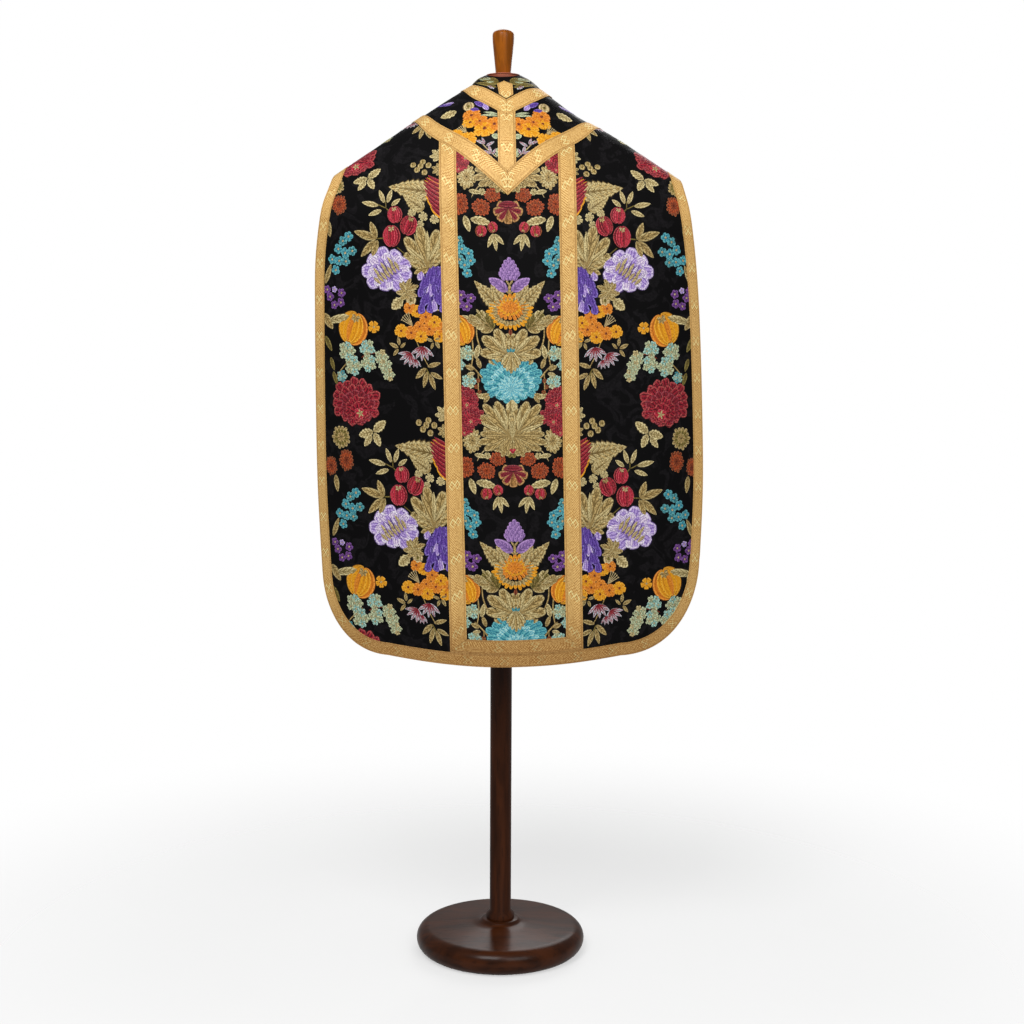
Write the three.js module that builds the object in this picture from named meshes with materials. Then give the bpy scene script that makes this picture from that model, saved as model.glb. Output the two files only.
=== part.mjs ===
// A Roman chasuble of lined brocade, worn by a limbless dress form on a turned wood stand.
// Millimetres, +Z up. The origin is the middle of the stand's underside. The back of the
// garment faces -Y and its front faces +Y.
//
// The cloth of each side is one surface with two flat coordinates, as on a cutting table:
// p runs across from the middle of the back or front, q runs down. Panels and galloons are
// grids of (p, q) places. clothPoint lays a place on the body, and wall closes two such grids.
import * as THREE from 'three';

const WALL = 2; // brocade, interlining and lining together
const TRIM = 1; // galloon
const LIFT = 0.8; // galloon above the panel
const SEAM = 0.3; // between two pieces

// Line of the shoulders from the neck outwards, with a slack place on the right
const RIDGE = { top: 1564.6, fall: 0.675, round: 45, slackAt: 122, slackWide: 48, slackDeep: 8 };
const CENTRE_HEIGHT = RIDGE.top - RIDGE.fall * RIDGE.round;

// Fall of the cloth from the shoulder line: a round top, a slope and a round turn to vertical
const FALL = { slope: 50 * Math.PI / 180, topRadius: 0.5, turnRadius: 1.2 };

// The garment sits a little to the right and swings further right towards the hem
const SHIFT = 4.5;
const SWING = { rate: 0.0241, from: 1500, round: 80 };

const GALLOON = 29; // wide braid
const EDGE_GALLOON = 21; // narrow braid round the outline
const FOOT_GALLOON = 24; // braid across the foot of the column
const COLUMN = 98; // from the middle to the seam of the centre column
const NECK_REACH = 62; // half width of the neckline at the shoulder
const BEND = 0.35; // share of a V line, from the shoulder, that turns up to it
const SEAM_SLANT = 1.5; // how far a yoke seam's end moves along the shoulder per mm of gap
const BRAID_SLANT = 0.55; // and the end of a braid's border

// depth is the cloth's greatest distance from the shoulder line, curve its radius round the
// body, bow the curve of the hem, slant its rise to the right and corner the radius at its two
// ends. Tips are the q of the two V points. Outline rows: half width of the cloth at a distance q below the top of the
// shoulders. Lean rows: how far the cloth hangs over to the left at q.
// Fold rows: a soft fold at p, how far it stands out, its width, and the q where it starts.
const BACK = {
  name: 'back', sign: -1, depth: 150, curve: 530, hem: 990, bow: 0.0003, slant: 0.025,
  corner: { left: 135, right: 162 },
  neckTip: 28, neckCut: 0.8, yokeTip: 191, yokeReach: 157, yokeSlope: 0.92,
  outline: [
    { q: 60, half: 296 }, { q: 150, half: 312 }, { q: 235, half: 333 }, { q: 312, half: 346 },
    { q: 400, half: 352 }, { q: 560, half: 357 }, { q: 700, half: 358 }, { q: 850, half: 350 },
    { q: 1000, half: 341 },
  ],
  lean: [
    { q: 60, by: 0 }, { q: 150, by: 1 }, { q: 235, by: 6 }, { q: 312, by: 8 }, { q: 400, by: 7 },
    { q: 560, by: 7 }, { q: 700, by: 8 }, { q: 850, by: 11 }, { q: 1000, by: 13 },
  ],
  folds: [
    { at: -300, out: 4, wide: 55, from: 280 }, { at: -190, out: -4, wide: 62, from: 420 },
    { at: -40, out: 3, wide: 60, from: 520 }, { at: 150, out: -4, wide: 60, from: 380 },
    { at: 268, out: 5, wide: 58, from: 300 },
  ],
};
const FRONT = {
  name: 'front', sign: 1, depth: 138, curve: 530, hem: 915, bow: 0.0003, slant: 0,
  corner: { left: 110, right: 110 },
  neckTip: 168, neckCut: 0.97, yokeTip: 300, yokeReach: 157, yokeSlope: 1.75,
  outline: [
    { q: 60, half: 296 }, { q: 140, half: 311 }, { q: 200, half: 300 }, { q: 290, half: 262 },
    { q: 390, half: 238 }, { q: 500, half: 232 }, { q: 620, half: 242 }, { q: 740, half: 266 },
    { q: 850, half: 286 }, { q: 950, half: 296 },
  ],
  lean: [{ q: 60, by: 0 }, { q: 950, by: 0 }],
  folds: [
    { at: -190, out: 5, wide: 58, from: 330 }, { at: -60, out: -4, wide: 60, from: 460 },
    { at: 75, out: 4, wide: 58, from: 400 }, { at: 205, out: -5, wide: 60, from: 360 },
  ],
};
const FOLD_START = 260; // length over which a fold opens

// Neck band: it rises from the neckline to the wood cap, highest at its sides, and is open at
// the throat
const BAND = { topRadius: 31, topHeight: 1529, sideRise: 6, openFrom: 122, bulge: 2.5 };

// Pointed tab on the band at the nape: heights are shares of the band's height
const TAB = { half: 14, point: 0.6, foot: 0.04, shoulder: 0.49, peak: 0.76, footRadius: 74 };

// Dress form: half width, half depths at the middle, clearance under the cloth, roundness of
// its plan, and how far and how suddenly its shoulder tips fall
const FORM = {
  half: 205, back: 116, front: 112, flatTop: 1522, clear: 0.95, foot: 780, plan: 2.6,
  tipFall: 16, tipTurn: 14,
};
const DRAPE = [0, 0.3, 0.6, 0.87, 1.13, 1.39, 1.6, 1.8]; // shoulder rows, as shares of the depth
// Trunk rows below the chest, as shares of the half width and of the two half depths
const TRUNK = [
  { z: 1330, width: 0.97, front: 0.99, back: 0.98 },
  { z: 1250, width: 0.88, front: 1.0, back: 0.98 },
  { z: 1160, width: 0.83, front: 0.96, back: 0.9 },
  { z: 1070, width: 0.79, front: 0.88, back: 0.82 },
  { z: 980, width: 0.82, front: 0.86, back: 0.85 },
  { z: 890, width: 0.86, front: 0.87, back: 0.93 },
  { z: 820, width: 0.86, front: 0.86, back: 0.94 },
  { z: FORM.foot, width: 0.84, front: 0.84, back: 0.92 },
];

// Turned pieces: radius r at height z above the piece's own foot
const CAP = [
  { r: 0, z: 0 }, { r: 27.6, z: 0 }, { r: 27.6, z: 11.9 }, { r: 29, z: 13.1 }, { r: 28.2, z: 14.1 },
  { r: 14.8, z: 16.7 }, { r: 0, z: 16.7 },
];
const FINIAL = [
  { r: 0, z: 0 }, { r: 12.8, z: 0 }, { r: 17.8, z: 49.2 }, { r: 18.4, z: 63.2 }, { r: 18.1, z: 65 },
  { r: 17.5, z: 66.7 }, { r: 16.3, z: 68.1 }, { r: 14.9, z: 69.3 }, { r: 13.2, z: 70 },
  { r: 6, z: 72.6 }, { r: 0, z: 73.2 },
];
const BASE = { radius: 150, thickness: 44 };
const HUB = [
  { r: 64, z: 48 }, { r: 40, z: 50 }, { r: 34, z: 54 }, { r: 31, z: 56 }, { r: 0, z: 56 },
];
const POLE = { radius: 19, collar: 25, collarHeight: 16 };
const ROUND = 32; // sides of a turned piece

// Facets of a side panel: down its edge near the shoulder and below, round its corner, along its
// hem, and down the column seam beside it, round the turn and below. The yoke's seam has a few,
// and both borders of the panel count the same: yoke + turned + hung = near + far + corner / 2.
const ROWS = { near: 14, far: 8, corner: 8, hem: 4, yoke: 6, turned: 7, hung: 13 };
const NEAR = 1.1; // the near rows end at this share of the fall's turn
const CROWD = 1.25; // how much closer they stand at the shoulder
const SPREAD = 0.9; // the same for the columns of a side panel
const BRAID_STEP = 9; // length of a facet of a V braid

const material = (name, color, roughness, metalness = 0) =>
  new THREE.MeshStandardMaterial({ name, color, roughness, metalness });
const brocade = material('brocade', 0x14110f, 0.6);
const braid = material('gold braid', 0xcfa65e, 0.45, 0.25);
const linen = material('linen', 0xd9cdb6, 0.9);
const honeyWood = material('honey wood', 0xb0581c, 0.4);
const redWood = material('red wood', 0xa8583c, 0.5);
const darkWood = material('dark wood', 0x4a2313, 0.35);

const mix = (a, b, t) => a + (b - a) * t;
const range = (count) => Array.from({ length: count + 1 }, (_, i) => i / count);
const between = (a, b, count) => range(count).map((t) => mix(a, b, t));

// Value of one column of a table at x, on a smooth curve through its rows
function readTable(rows, at, column, x) {
  const last = rows.length - 1;
  let i = rows.findIndex((row) => row[at] >= x);
  i = i < 0 ? last - 1 : Math.max(i - 1, 0);
  const slope = (k) => {
    const a = rows[Math.max(k - 1, 0)];
    const b = rows[Math.min(k + 1, last)];
    return (b[column] - a[column]) / (b[at] - a[at]);
  };
  const [a, b] = [rows[i], rows[i + 1]];
  const span = b[at] - a[at];
  const t = Math.min(Math.max((x - a[at]) / span, 0), 1);
  const [t2, t3] = [t * t, t * t * t];
  return (2 * t3 - 3 * t2 + 1) * a[column] + (t3 - 2 * t2 + t) * span * slope(i)
    + (3 * t2 - 2 * t3) * b[column] + (t3 - t2) * span * slope(i + 1);
}

const ridgeHeight = (x) => RIDGE.top - RIDGE.fall * Math.hypot(x, RIDGE.round)
  - RIDGE.slackDeep * Math.exp(-(((x - RIDGE.slackAt) / RIDGE.slackWide) ** 2));

function swing(z) {
  const below = SWING.from - z;
  return SWING.rate * (below + Math.hypot(below, SWING.round)) / 2;
}

const across = (side, p) => side.curve * Math.sin(p / side.curve) + SHIFT;
const depthAt = (side, p) => side.depth - side.curve * (1 - Math.cos(p / side.curve));

// Lengths of the three stretches of the fall for a cloth that ends up this deep
function stretches(depth) {
  const [top, turn] = [FALL.topRadius * depth, FALL.turnRadius * depth];
  const sin = Math.sin(FALL.slope);
  const straight = (depth - top * sin - turn * (1 - sin)) / Math.cos(FALL.slope);
  return { top, turn, straight, arc: top * FALL.slope, bend: turn * (Math.PI / 2 - FALL.slope) };
}

// How far out and down the cloth is at a length w below the shoulder line
function fall(depth, w) {
  const { top, turn, straight, arc, bend } = stretches(depth);
  const [sin, cos] = [Math.sin(FALL.slope), Math.cos(FALL.slope)];
  if (w < arc) return { out: top * Math.sin(w / top), down: top * (1 - Math.cos(w / top)) };
  const slid = Math.min(w - arc, straight);
  const turned = Math.min(Math.max(w - arc - straight, 0), bend) / turn + FALL.slope;
  const hung = Math.max(w - arc - straight - bend, 0);
  return {
    out: top * sin + slid * cos + turn * (Math.sin(turned) - sin),
    down: top * (1 - cos) + slid * sin + turn * (cos - Math.cos(turned)) + hung,
  };
}

function turnLength(depth) {
  const { straight, arc, bend } = stretches(depth);
  return arc + straight + bend;
}

// q of the shoulder line at p: below the turn, q is the plain depth below the neck
function ridgeQ(side, p) {
  const depth = depthAt(side, p);
  const length = turnLength(depth);
  return CENTRE_HEIGHT - ridgeHeight(across(side, p)) + fall(depth, length).down - length;
}

function foldOut(side, p, q) {
  return side.folds.reduce((sum, fold) => {
    const open = Math.min(Math.max((q - fold.from) / FOLD_START, 0), 1);
    return sum + fold.out * open * open * (3 - 2 * open) * Math.exp(-(((p - fold.at) / fold.wide) ** 2));
  }, 0);
}

function onCloth(side, p, q) {
  const { out, down } = fall(depthAt(side, p), q - ridgeQ(side, p));
  const x = across(side, p);
  const z = ridgeHeight(x) - down;
  return new THREE.Vector3(x + swing(z), side.sign * (out + foldOut(side, p, q)), z);
}

// Point of the cloth's outer face at (p, q), moved out by lift
function clothPoint(side, [p, q], lift) {
  const step = 0.5;
  const alongP = onCloth(side, p + step, q).sub(onCloth(side, p - step, q));
  const alongQ = onCloth(side, p, q + step).sub(onCloth(side, p, q - step));
  const normal = alongP.cross(alongQ).normalize().multiplyScalar(side.sign);
  return onCloth(side, p, q).addScaledVector(normal, lift);
}

function solid(points, faces, name, look) {
  const keys = new Map();
  const places = [];
  const index = points.map((point) => {
    const key = point.toArray().map((value) => Math.round(value * 1000)).join(' ');
    if (!keys.has(key)) {
      keys.set(key, places.length);
      places.push(point);
    }
    return keys.get(key);
  });
  const kept = faces.map((face) => face.map((i) => index[i]))
    .filter(([a, b, c]) => a !== b && b !== c && c !== a);
  const volume = kept.reduce((sum, [a, b, c]) =>
    sum + places[a].dot(new THREE.Vector3().crossVectors(places[b], places[c])), 0);
  const outward = volume > 0 ? kept : kept.map(([a, b, c]) => [a, c, b]);
  const geometry = new THREE.BufferGeometry();
  geometry.setAttribute('position', new THREE.Float32BufferAttribute(places.flatMap((v) => v.toArray()), 3));
  geometry.setIndex(outward.flat());
  geometry.computeVertexNormals();
  const mesh = new THREE.Mesh(geometry, look);
  mesh.name = name;
  return mesh;
}

// Whether a quad of the outer face is split from a to c so that it stays low, or proud if so asked
function splitsFirst([a, b, c, d], outward, proud) {
  const rise = a.clone().add(c).sub(b).sub(d).dot(outward);
  return proud ? rise > 0 : rise < 0;
}

// Closed wall between two grids of points with the same rows and columns. Cloth keeps its
// facets low and a braid keeps them proud, so that the braid stays clear of the cloth.
function wall(outer, inner, name, look, proud = false) {
  const rows = outer.length;
  const columns = outer[0].length;
  const at = (layer, i, j) => (layer * rows + i) * columns + j;
  const faces = [];
  const quad = (a, b, c, d, first = true) =>
    faces.push(...(first ? [[a, b, c], [a, c, d]] : [[b, c, d], [b, d, a]]));
  for (let i = 0; i + 1 < rows; i += 1) {
    for (let j = 0; j + 1 < columns; j += 1) {
      const corners = [outer[i][j], outer[i + 1][j], outer[i + 1][j + 1], outer[i][j + 1]];
      const first = splitsFirst(corners, outer[i][j].clone().sub(inner[i][j]), proud);
      quad(at(0, i, j), at(0, i + 1, j), at(0, i + 1, j + 1), at(0, i, j + 1), first);
      quad(at(1, i, j), at(1, i, j + 1), at(1, i + 1, j + 1), at(1, i + 1, j), first);
    }
    quad(at(0, i, 0), at(1, i, 0), at(1, i + 1, 0), at(0, i + 1, 0));
    quad(at(0, i + 1, columns - 1), at(1, i + 1, columns - 1), at(1, i, columns - 1), at(0, i, columns - 1));
  }
  for (let j = 0; j + 1 < columns; j += 1) {
    quad(at(0, 0, j + 1), at(1, 0, j + 1), at(1, 0, j), at(0, 0, j));
    quad(at(0, rows - 1, j), at(1, rows - 1, j), at(1, rows - 1, j + 1), at(0, rows - 1, j + 1));
  }
  return solid([...outer.flat(), ...inner.flat()], faces, name, look);
}

const lay = (side, grid, lift) => grid.map((row) => row.map((place) => clothPoint(side, place, lift)));
const panel = (side, grid, part) =>
  wall(lay(side, grid, 0), lay(side, grid, -WALL), `${side.name}_${part}`, brocade);
const galloon = (side, grid, part) =>
  wall(lay(side, grid, LIFT + TRIM), lay(side, grid, LIFT), `${side.name}_${part}`, braid, true);

// Grid of places between four border lines; top and bottom run across, left and right run down
function patch(top, bottom, left, right) {
  const [m, n] = [left.length - 1, top.length - 1];
  return left.map((_, i) => top.map((__, j) => {
    const [s, t] = [j / n, i / m];
    return [0, 1].map((k) => (1 - t) * top[j][k] + t * bottom[j][k]
      + (1 - s) * left[i][k] + s * right[i][k]
      - (1 - s) * (1 - t) * top[0][k] - s * (1 - t) * top[n][k]
      - (1 - s) * t * bottom[0][k] - s * t * bottom[n][k]);
  }));
}

const mirrorLine = (line) => line.map(([p, q]) => [-p, q]);
const fromRidge = (side, p, w) => [p, ridgeQ(side, p) + w];
const hemQ = (side, p) => side.hem - side.bow * p * p - side.slant * p;
const halfWidth = (side, hand, q) =>
  readTable(side.outline, 'q', 'half', q) - hand * readTable(side.lean, 'q', 'by', q);

// Place where the side edge meets the shoulder line, on the given hand (-1 left, 1 right)
function edgeTop(side, hand) {
  const rounds = 12;
  let p = side.outline[1].half;
  for (let i = 0; i < rounds; i += 1) p = halfWidth(side, hand, ridgeQ(side, hand * p));
  return p;
}

// A V line of the yoke or the neck on one hand: straight from its tip, then up to the shoulder
function vLine(side, hand, { tip, slope, reach }, values) {
  const turn = reach * (1 - BEND);
  const [turnQ, endQ] = [tip - slope * turn, ridgeQ(side, hand * reach) + SEAM / 2];
  return values.map((p) => {
    if (p <= turn) return [hand * p, tip - slope * p];
    const t = (p - turn) / (reach - turn);
    const straight = tip - slope * p;
    return [hand * p, mix(straight, mix(turnQ, endQ, t), t * t)];
  });
}

const neckV = (side, gap) => ({
  tip: side.neckTip + gap, reach: NECK_REACH + gap,
  slope: (side.neckTip - ridgeQ(side, NECK_REACH)) / NECK_REACH * side.neckCut,
});
const yokeV = (side, gap) => ({
  tip: side.yokeTip + gap * Math.hypot(1, side.yokeSlope), slope: side.yokeSlope,
  reach: side.yokeReach + gap * SEAM_SLANT,
});

// Side edge, bottom corner and hem as one line of places, from the shoulder to the column
function outlinePlaces(side, hand, inset) {
  const top = edgeTop(side, hand);
  const start = ridgeQ(side, hand * top);
  const length = turnLength(depthAt(side, top));
  const corner = hand < 0 ? side.corner.left : side.corner.right;
  const half = halfWidth(side, hand, side.hem - corner) - corner;
  const middleQ = hemQ(side, hand * half) - corner;
  const slant = start - ridgeQ(side, hand * (top - inset));
  const near = range(ROWS.near)
    .map((t) => start + mix(SEAM / 2, length * NEAR, t ** CROWD) - slant * (1 - t));
  const far = between(start + length * NEAR, middleQ, ROWS.far).slice(1);
  const edge = [...near, ...far]
    .map((q, i) => [hand * ((i ? halfWidth(side, hand, q) : top) - inset), q]);
  const arc = range(ROWS.corner).slice(1).map((t) => {
    const angle = t * Math.PI / 2;
    const radius = corner - inset;
    return [hand * (half + radius * Math.cos(angle)), middleQ + radius * Math.sin(angle)];
  });
  const hem = between(hand * half, hand * COLUMN, ROWS.hem).slice(1)
    .map((p) => [p, hemQ(side, p) - inset]);
  return { edge, arc, hem };
}

const innerSteps = (last) => [...between(0, COLUMN - GALLOON, 3), last];
const outerSteps = (side, gap) => between(COLUMN, yokeV(side, gap).reach, ROWS.yoke);

function columnRows(side, hand) {
  const top = yokeV(side, 0).tip - side.yokeSlope * COLUMN;
  const turned = ridgeQ(side, COLUMN) + turnLength(depthAt(side, COLUMN)) - top;
  const end = hemQ(side, hand * COLUMN) - top;
  return [...between(0, turned, ROWS.turned), ...between(turned, end, ROWS.hung).slice(1)];
}

function sidePanel(side, hand) {
  const gap = SEAM / 2;
  const vSeam = vLine(side, hand, yokeV(side, gap), outerSteps(side, gap)).reverse();
  const seam = columnRows(side, hand).slice(1)
    .map((down) => [hand * (COLUMN + gap), vSeam.at(-1)[1] + down]);
  const { edge, arc, hem } = outlinePlaces(side, hand, 0);
  vSeam[vSeam.length - 1][0] = hand * (COLUMN + gap);
  seam[seam.length - 1][1] = hemQ(side, hand * COLUMN);
  const inner = [...vSeam, ...seam];
  const turn = ROWS.corner / 2;
  const outer = [...edge, ...arc.slice(0, turn)];
  const bottom = [...arc.slice(turn - 1), ...hem].reverse();
  bottom[0] = inner.at(-1);
  const reach = yokeV(side, gap).reach;
  const top = range(bottom.length - 1)
    .map((t) => fromRidge(side, hand * mix(reach, Math.abs(edge[0][0]), t ** SPREAD), gap));
  return patch(top, bottom, inner, outer);
}

function columnPanel(side) {
  const gap = SEAM / 2;
  const half = vLine(side, 1, yokeV(side, gap), innerSteps(COLUMN - gap));
  const top = [...mirrorLine(half).reverse(), ...half.slice(1)];
  const bottom = top.map(([p]) => [p, hemQ(side, p)]);
  const border = (hand, foot) => {
    const rows = columnRows(side, hand).slice(0, -1);
    return [...rows.map((down) => [hand * (COLUMN - gap), half.at(-1)[1] + down]), foot];
  };
  return patch(top, bottom, border(-1, bottom[0]), border(1, bottom.at(-1)));
}

function yokePanel(side) {
  const gap = SEAM / 2;
  const rows = 9;
  const lineOf = (v, steps) => [
    ...vLine(side, -1, v, steps).reverse(), ...vLine(side, 1, v, steps).slice(1)];
  const bottom = lineOf(yokeV(side, -gap), [...innerSteps(COLUMN), ...outerSteps(side, -gap).slice(1)]);
  const neck = neckV(side, 0);
  const count = (bottom.length - 1) / 2;
  const top = lineOf(neck, between(0, neck.reach, count));
  const ridge = (hand) => between(neck.reach, yokeV(side, -gap).reach, rows)
    .map((p) => fromRidge(side, hand * p, gap));
  return patch(top, bottom, ridge(-1), ridge(1));
}

// A line of places spread evenly along its own length
function evenly(line, count) {
  const run = [0];
  line.slice(1).forEach(([p, q], i) => run.push(run[i] + Math.hypot(p - line[i][0], q - line[i][1])));
  return between(0, run.at(-1), count).map((length) => {
    const i = Math.max(Math.min(run.findIndex((value) => value >= length), run.length - 1) - 1, 0);
    const t = (length - run[i]) / (run[i + 1] - run[i]);
    return [mix(line[i][0], line[i + 1][0], t), mix(line[i][1], line[i + 1][1], t)];
  });
}

// Grid of a braid from its two border lines
const ribbon = (first, second, parts) => first.map((place, i) =>
  range(parts).map((t) => [mix(place[0], second[i][0], t), mix(place[1], second[i][1], t)]));

// Half of a V braid that starts above the line of v and ends below it
function vBraid(side, hand, v, above, below) {
  const stretch = Math.hypot(1, v.slope);
  const shift = (by) => ({ ...v, tip: v.tip + by * stretch, reach: v.reach + by * BRAID_SLANT });
  const [high, low] = [shift(-above), shift(below)];
  const steps = Math.ceil(v.reach * stretch / BRAID_STEP);
  const line = (edge) => evenly(vLine(side, hand, edge, between(SEAM / 2, edge.reach, 60)), steps);
  return ribbon(line(high), line(low), 3);
}

const yokeBraid = (side, hand) => vBraid(side, hand, yokeV(side, 0), GALLOON / 2, GALLOON / 2);
const neckBraid = (side, hand) => vBraid(side, hand, neckV(side, 0), 0, GALLOON);

// q of the line just above (-1) or below (1) the yoke's braid
const besideYoke = (side, way, p) => {
  const v = yokeV(side, 0);
  return v.tip + way * (GALLOON / 2 + SEAM) * Math.hypot(1, v.slope) - v.slope * Math.abs(p);
};

const FOOT = { bottom: EDGE_GALLOON + SEAM, top: EDGE_GALLOON + SEAM + FOOT_GALLOON }; // above the hem
const columnEdges = { inner: COLUMN - GALLOON / 2, outer: COLUMN + GALLOON / 2 };

function columnBraid(side, hand) {
  const line = (p, end) => {
    const start = besideYoke(side, 1, p);
    const turned = ridgeQ(side, p) + turnLength(depthAt(side, p));
    const rows = [...between(start, turned, 9), ...between(turned, end, 8).slice(1)];
    return rows.map((q) => [hand * p, q]);
  };
  const end = (p, rise) => hemQ(side, hand * p) - rise - SEAM;
  return ribbon(
    line(columnEdges.inner, end(columnEdges.inner, FOOT.top)),
    line(columnEdges.outer, end(columnEdges.outer, FOOT.bottom)), 3);
}

function footBraid(side) {
  const count = 12;
  const line = (half, rise) => between(-half, half, count).map((p) => [p, hemQ(side, p) - rise]);
  return ribbon(line(columnEdges.inner, FOOT.top), line(columnEdges.outer, FOOT.bottom), 1);
}

// Braid round the outline, from one shoulder down, along the hem and up to the other shoulder
function edgeBraid(side) {
  const overhang = 0.4;
  const line = (inset) => {
    const half = (hand) => {
      const { edge, arc, hem } = outlinePlaces(side, hand, inset);
      edge[0] = fromRidge(side, edge[0][0], SEAM / 2);
      return [...edge, ...arc, ...hem];
    };
    const middle = between(-COLUMN, COLUMN, 8).slice(1, -1).map((p) => [p, hemQ(side, p) - inset]);
    return [...half(-1), ...middle, ...half(1).reverse()];
  };
  return ribbon(line(-overhang), line(EDGE_GALLOON), 1);
}

function centreBraid(side) {
  const half = GALLOON / 2;
  const neck = neckV(side, 0);
  const stretch = Math.hypot(1, neck.slope);
  const top = (p) => neck.tip + (GALLOON + SEAM) * stretch - neck.slope * Math.abs(p);
  const parts = range(4).map((t) => mix(-half, half, t));
  return range(12).map((t) => parts.map((p) => [p, mix(top(p), besideYoke(side, -1, p), t)]));
}

function chasubleSide(side) {
  const pieces = [
    panel(side, yokePanel(side), 'yoke'),
    panel(side, columnPanel(side), 'column'),
    galloon(side, edgeBraid(side), 'edge_galloon'),
    galloon(side, footBraid(side), 'foot_galloon'),
  ];
  for (const [hand, word] of [[-1, 'left'], [1, 'right']]) {
    pieces.push(
      panel(side, sidePanel(side, hand), `side_${word}`),
      galloon(side, columnBraid(side, hand), `column_galloon_${word}`),
      galloon(side, yokeBraid(side, hand), `yoke_galloon_${word}`),
      galloon(side, neckBraid(side, hand), `neck_galloon_${word}`),
    );
  }
  return pieces;
}

// Outer and inner point of the neck band: turn is the angle round the neck from the nape, and
// rise goes from 0 at the neckline to 1 at the top
function bandPoint(turn, rise, lift) {
  const side = Math.abs(turn) <= Math.PI / 2 ? BACK : FRONT;
  const hand = turn < 0 ? -1 : 1;
  const neck = neckV(side, -2 * SEAM);
  const [place] = vLine(side, hand, neck, [neck.reach * Math.abs(Math.sin(turn))]);
  const foot = clothPoint(side, place, 0);
  const direction = new THREE.Vector3(Math.sin(turn), -Math.cos(turn), 0);
  const head = direction.clone().multiplyScalar(BAND.topRadius)
    .setZ(BAND.topHeight + BAND.sideRise * Math.sin(turn) ** 2);
  const slant = head.clone().sub(foot).normalize();
  const round = new THREE.Vector3(Math.cos(turn), Math.sin(turn), 0);
  const normal = new THREE.Vector3().crossVectors(round, slant).normalize();
  if (normal.dot(direction) < 0) normal.negate();
  const bulge = BAND.bulge * Math.sin(Math.PI * rise);
  return foot.lerp(head, rise).addScaledVector(normal, bulge + lift);
}

function bandWall(turns, rises, low, high, name, look) {
  const grid = (lift) => rises.map((rise, i) => turns(i).map((turn) => bandPoint(turn, rise, lift)));
  return wall(grid(high), grid(low), name, look);
}

function neckBand() {
  const open = BAND.openFrom * Math.PI / 180;
  return bandWall(() => between(-open, open, 30), range(5), -WALL, 0, 'neck_band', brocade);
}

function neckTab() {
  const rises = [...between(TAB.foot, TAB.shoulder, 4), ...between(TAB.shoulder, TAB.peak, 2).slice(1)];
  const turns = rises.map((rise) => {
    const left = Math.min((TAB.peak - rise) / (TAB.peak - TAB.shoulder), 1);
    const half = Math.max(TAB.half * left, TAB.point) / mix(TAB.footRadius, BAND.topRadius, rise);
    return between(-half, half, 4);
  });
  return bandWall((i) => turns[i], rises, LIFT, LIFT + TRIM, 'neck_tab', braid);
}

// Piece turned on a lathe: its rows start at the bottom of the axis and end at the top of it
function turned(rows, foot, name, look) {
  const rings = rows.map(({ r, z }) => range(ROUND).slice(1).map((t) => {
    const angle = t * 2 * Math.PI;
    return new THREE.Vector3(r * Math.cos(angle), r * Math.sin(angle), foot + z);
  }));
  const faces = [];
  for (let i = 0; i + 1 < rings.length; i += 1) {
    for (let j = 0; j < ROUND; j += 1) {
      const next = (j + 1) % ROUND;
      const [a, b] = [i * ROUND + j, i * ROUND + next];
      const [c, d] = [(i + 1) * ROUND + next, (i + 1) * ROUND + j];
      faces.push([a, b, c], [a, c, d]);
    }
  }
  return solid(rings.flat(), faces, name, look);
}

// Dress form: sections across the body from shoulder tip to shoulder tip, each a line that goes
// up the front, over the shoulder and down the back
function formTorso() {
  const stations = 24;
  const sections = between(-1, 1, stations).map((fraction) => {
    const u = Math.sin(fraction * Math.PI / 2);
    const x = FORM.half * u;
    const thin = Math.sqrt(1 - Math.abs(u) ** FORM.plan);
    const under = (WALL + FORM.clear) * Math.hypot(1, RIDGE.fall);
    const crest = ridgeHeight(x) - under - FORM.tipFall * Math.abs(u) ** FORM.tipTurn;
    const half = (middle, sign, column) => {
      const depth = middle * thin;
      const top = DRAPE.map((share) => {
        const { out, down } = depth ? fall(depth, share * depth) : { out: 0, down: 0 };
        return new THREE.Vector3(x, sign * out, Math.min(crest - down, FORM.flatTop));
      });
      const trunk = TRUNK.map((row) =>
        new THREE.Vector3(x * row.width, sign * depth * row[column], row.z));
      return [...top, ...trunk];
    };
    return [...half(FORM.front, 1, 'front').reverse(), ...half(FORM.back, -1, 'back').slice(1)];
  });
  const rows = sections[0].length;
  const faces = [];
  const quad = (a, b, c, d) => faces.push([a, b, c], [a, c, d]);
  for (let i = 0; i < stations; i += 1) {
    for (let j = 0; j < rows; j += 1) {
      const next = (j + 1) % rows;
      quad(i * rows + j, (i + 1) * rows + j, (i + 1) * rows + next, i * rows + next);
    }
  }
  return solid(sections.flat(), faces, 'form_torso', linen);
}

const heightOf = (rows) => rows.at(-1).z;

function formTop() {
  const seat = FORM.flatTop + SEAM;
  return [
    turned(CAP, seat, 'form_neck_cap', redWood),
    turned(FINIAL, seat + heightOf(CAP) + SEAM, 'form_finial', honeyWood),
  ];
}

function stand() {
  const round = BASE.thickness / 2;
  const rim = between(-Math.PI / 2, Math.PI / 2, 9).map((angle) =>
    ({ r: BASE.radius - round + round * Math.cos(angle), z: round + round * Math.sin(angle) }));
  const foot = heightOf(HUB) + SEAM;
  const length = FORM.foot - SEAM - foot;
  const { radius, collar, collarHeight } = POLE;
  const pole = [
    { r: 0, z: 0 }, { r: collar, z: 0 }, { r: collar, z: collarHeight / 2 },
    { r: radius, z: collarHeight }, { r: radius, z: length - collarHeight },
    { r: collar, z: length - collarHeight / 2 }, { r: collar, z: length }, { r: 0, z: length },
  ];
  return [
    turned([{ r: 0, z: 0 }, ...rim, ...HUB], 0, 'stand_base', darkWood),
    turned(pole, foot, 'stand_pole', darkWood),
  ];
}

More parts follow.
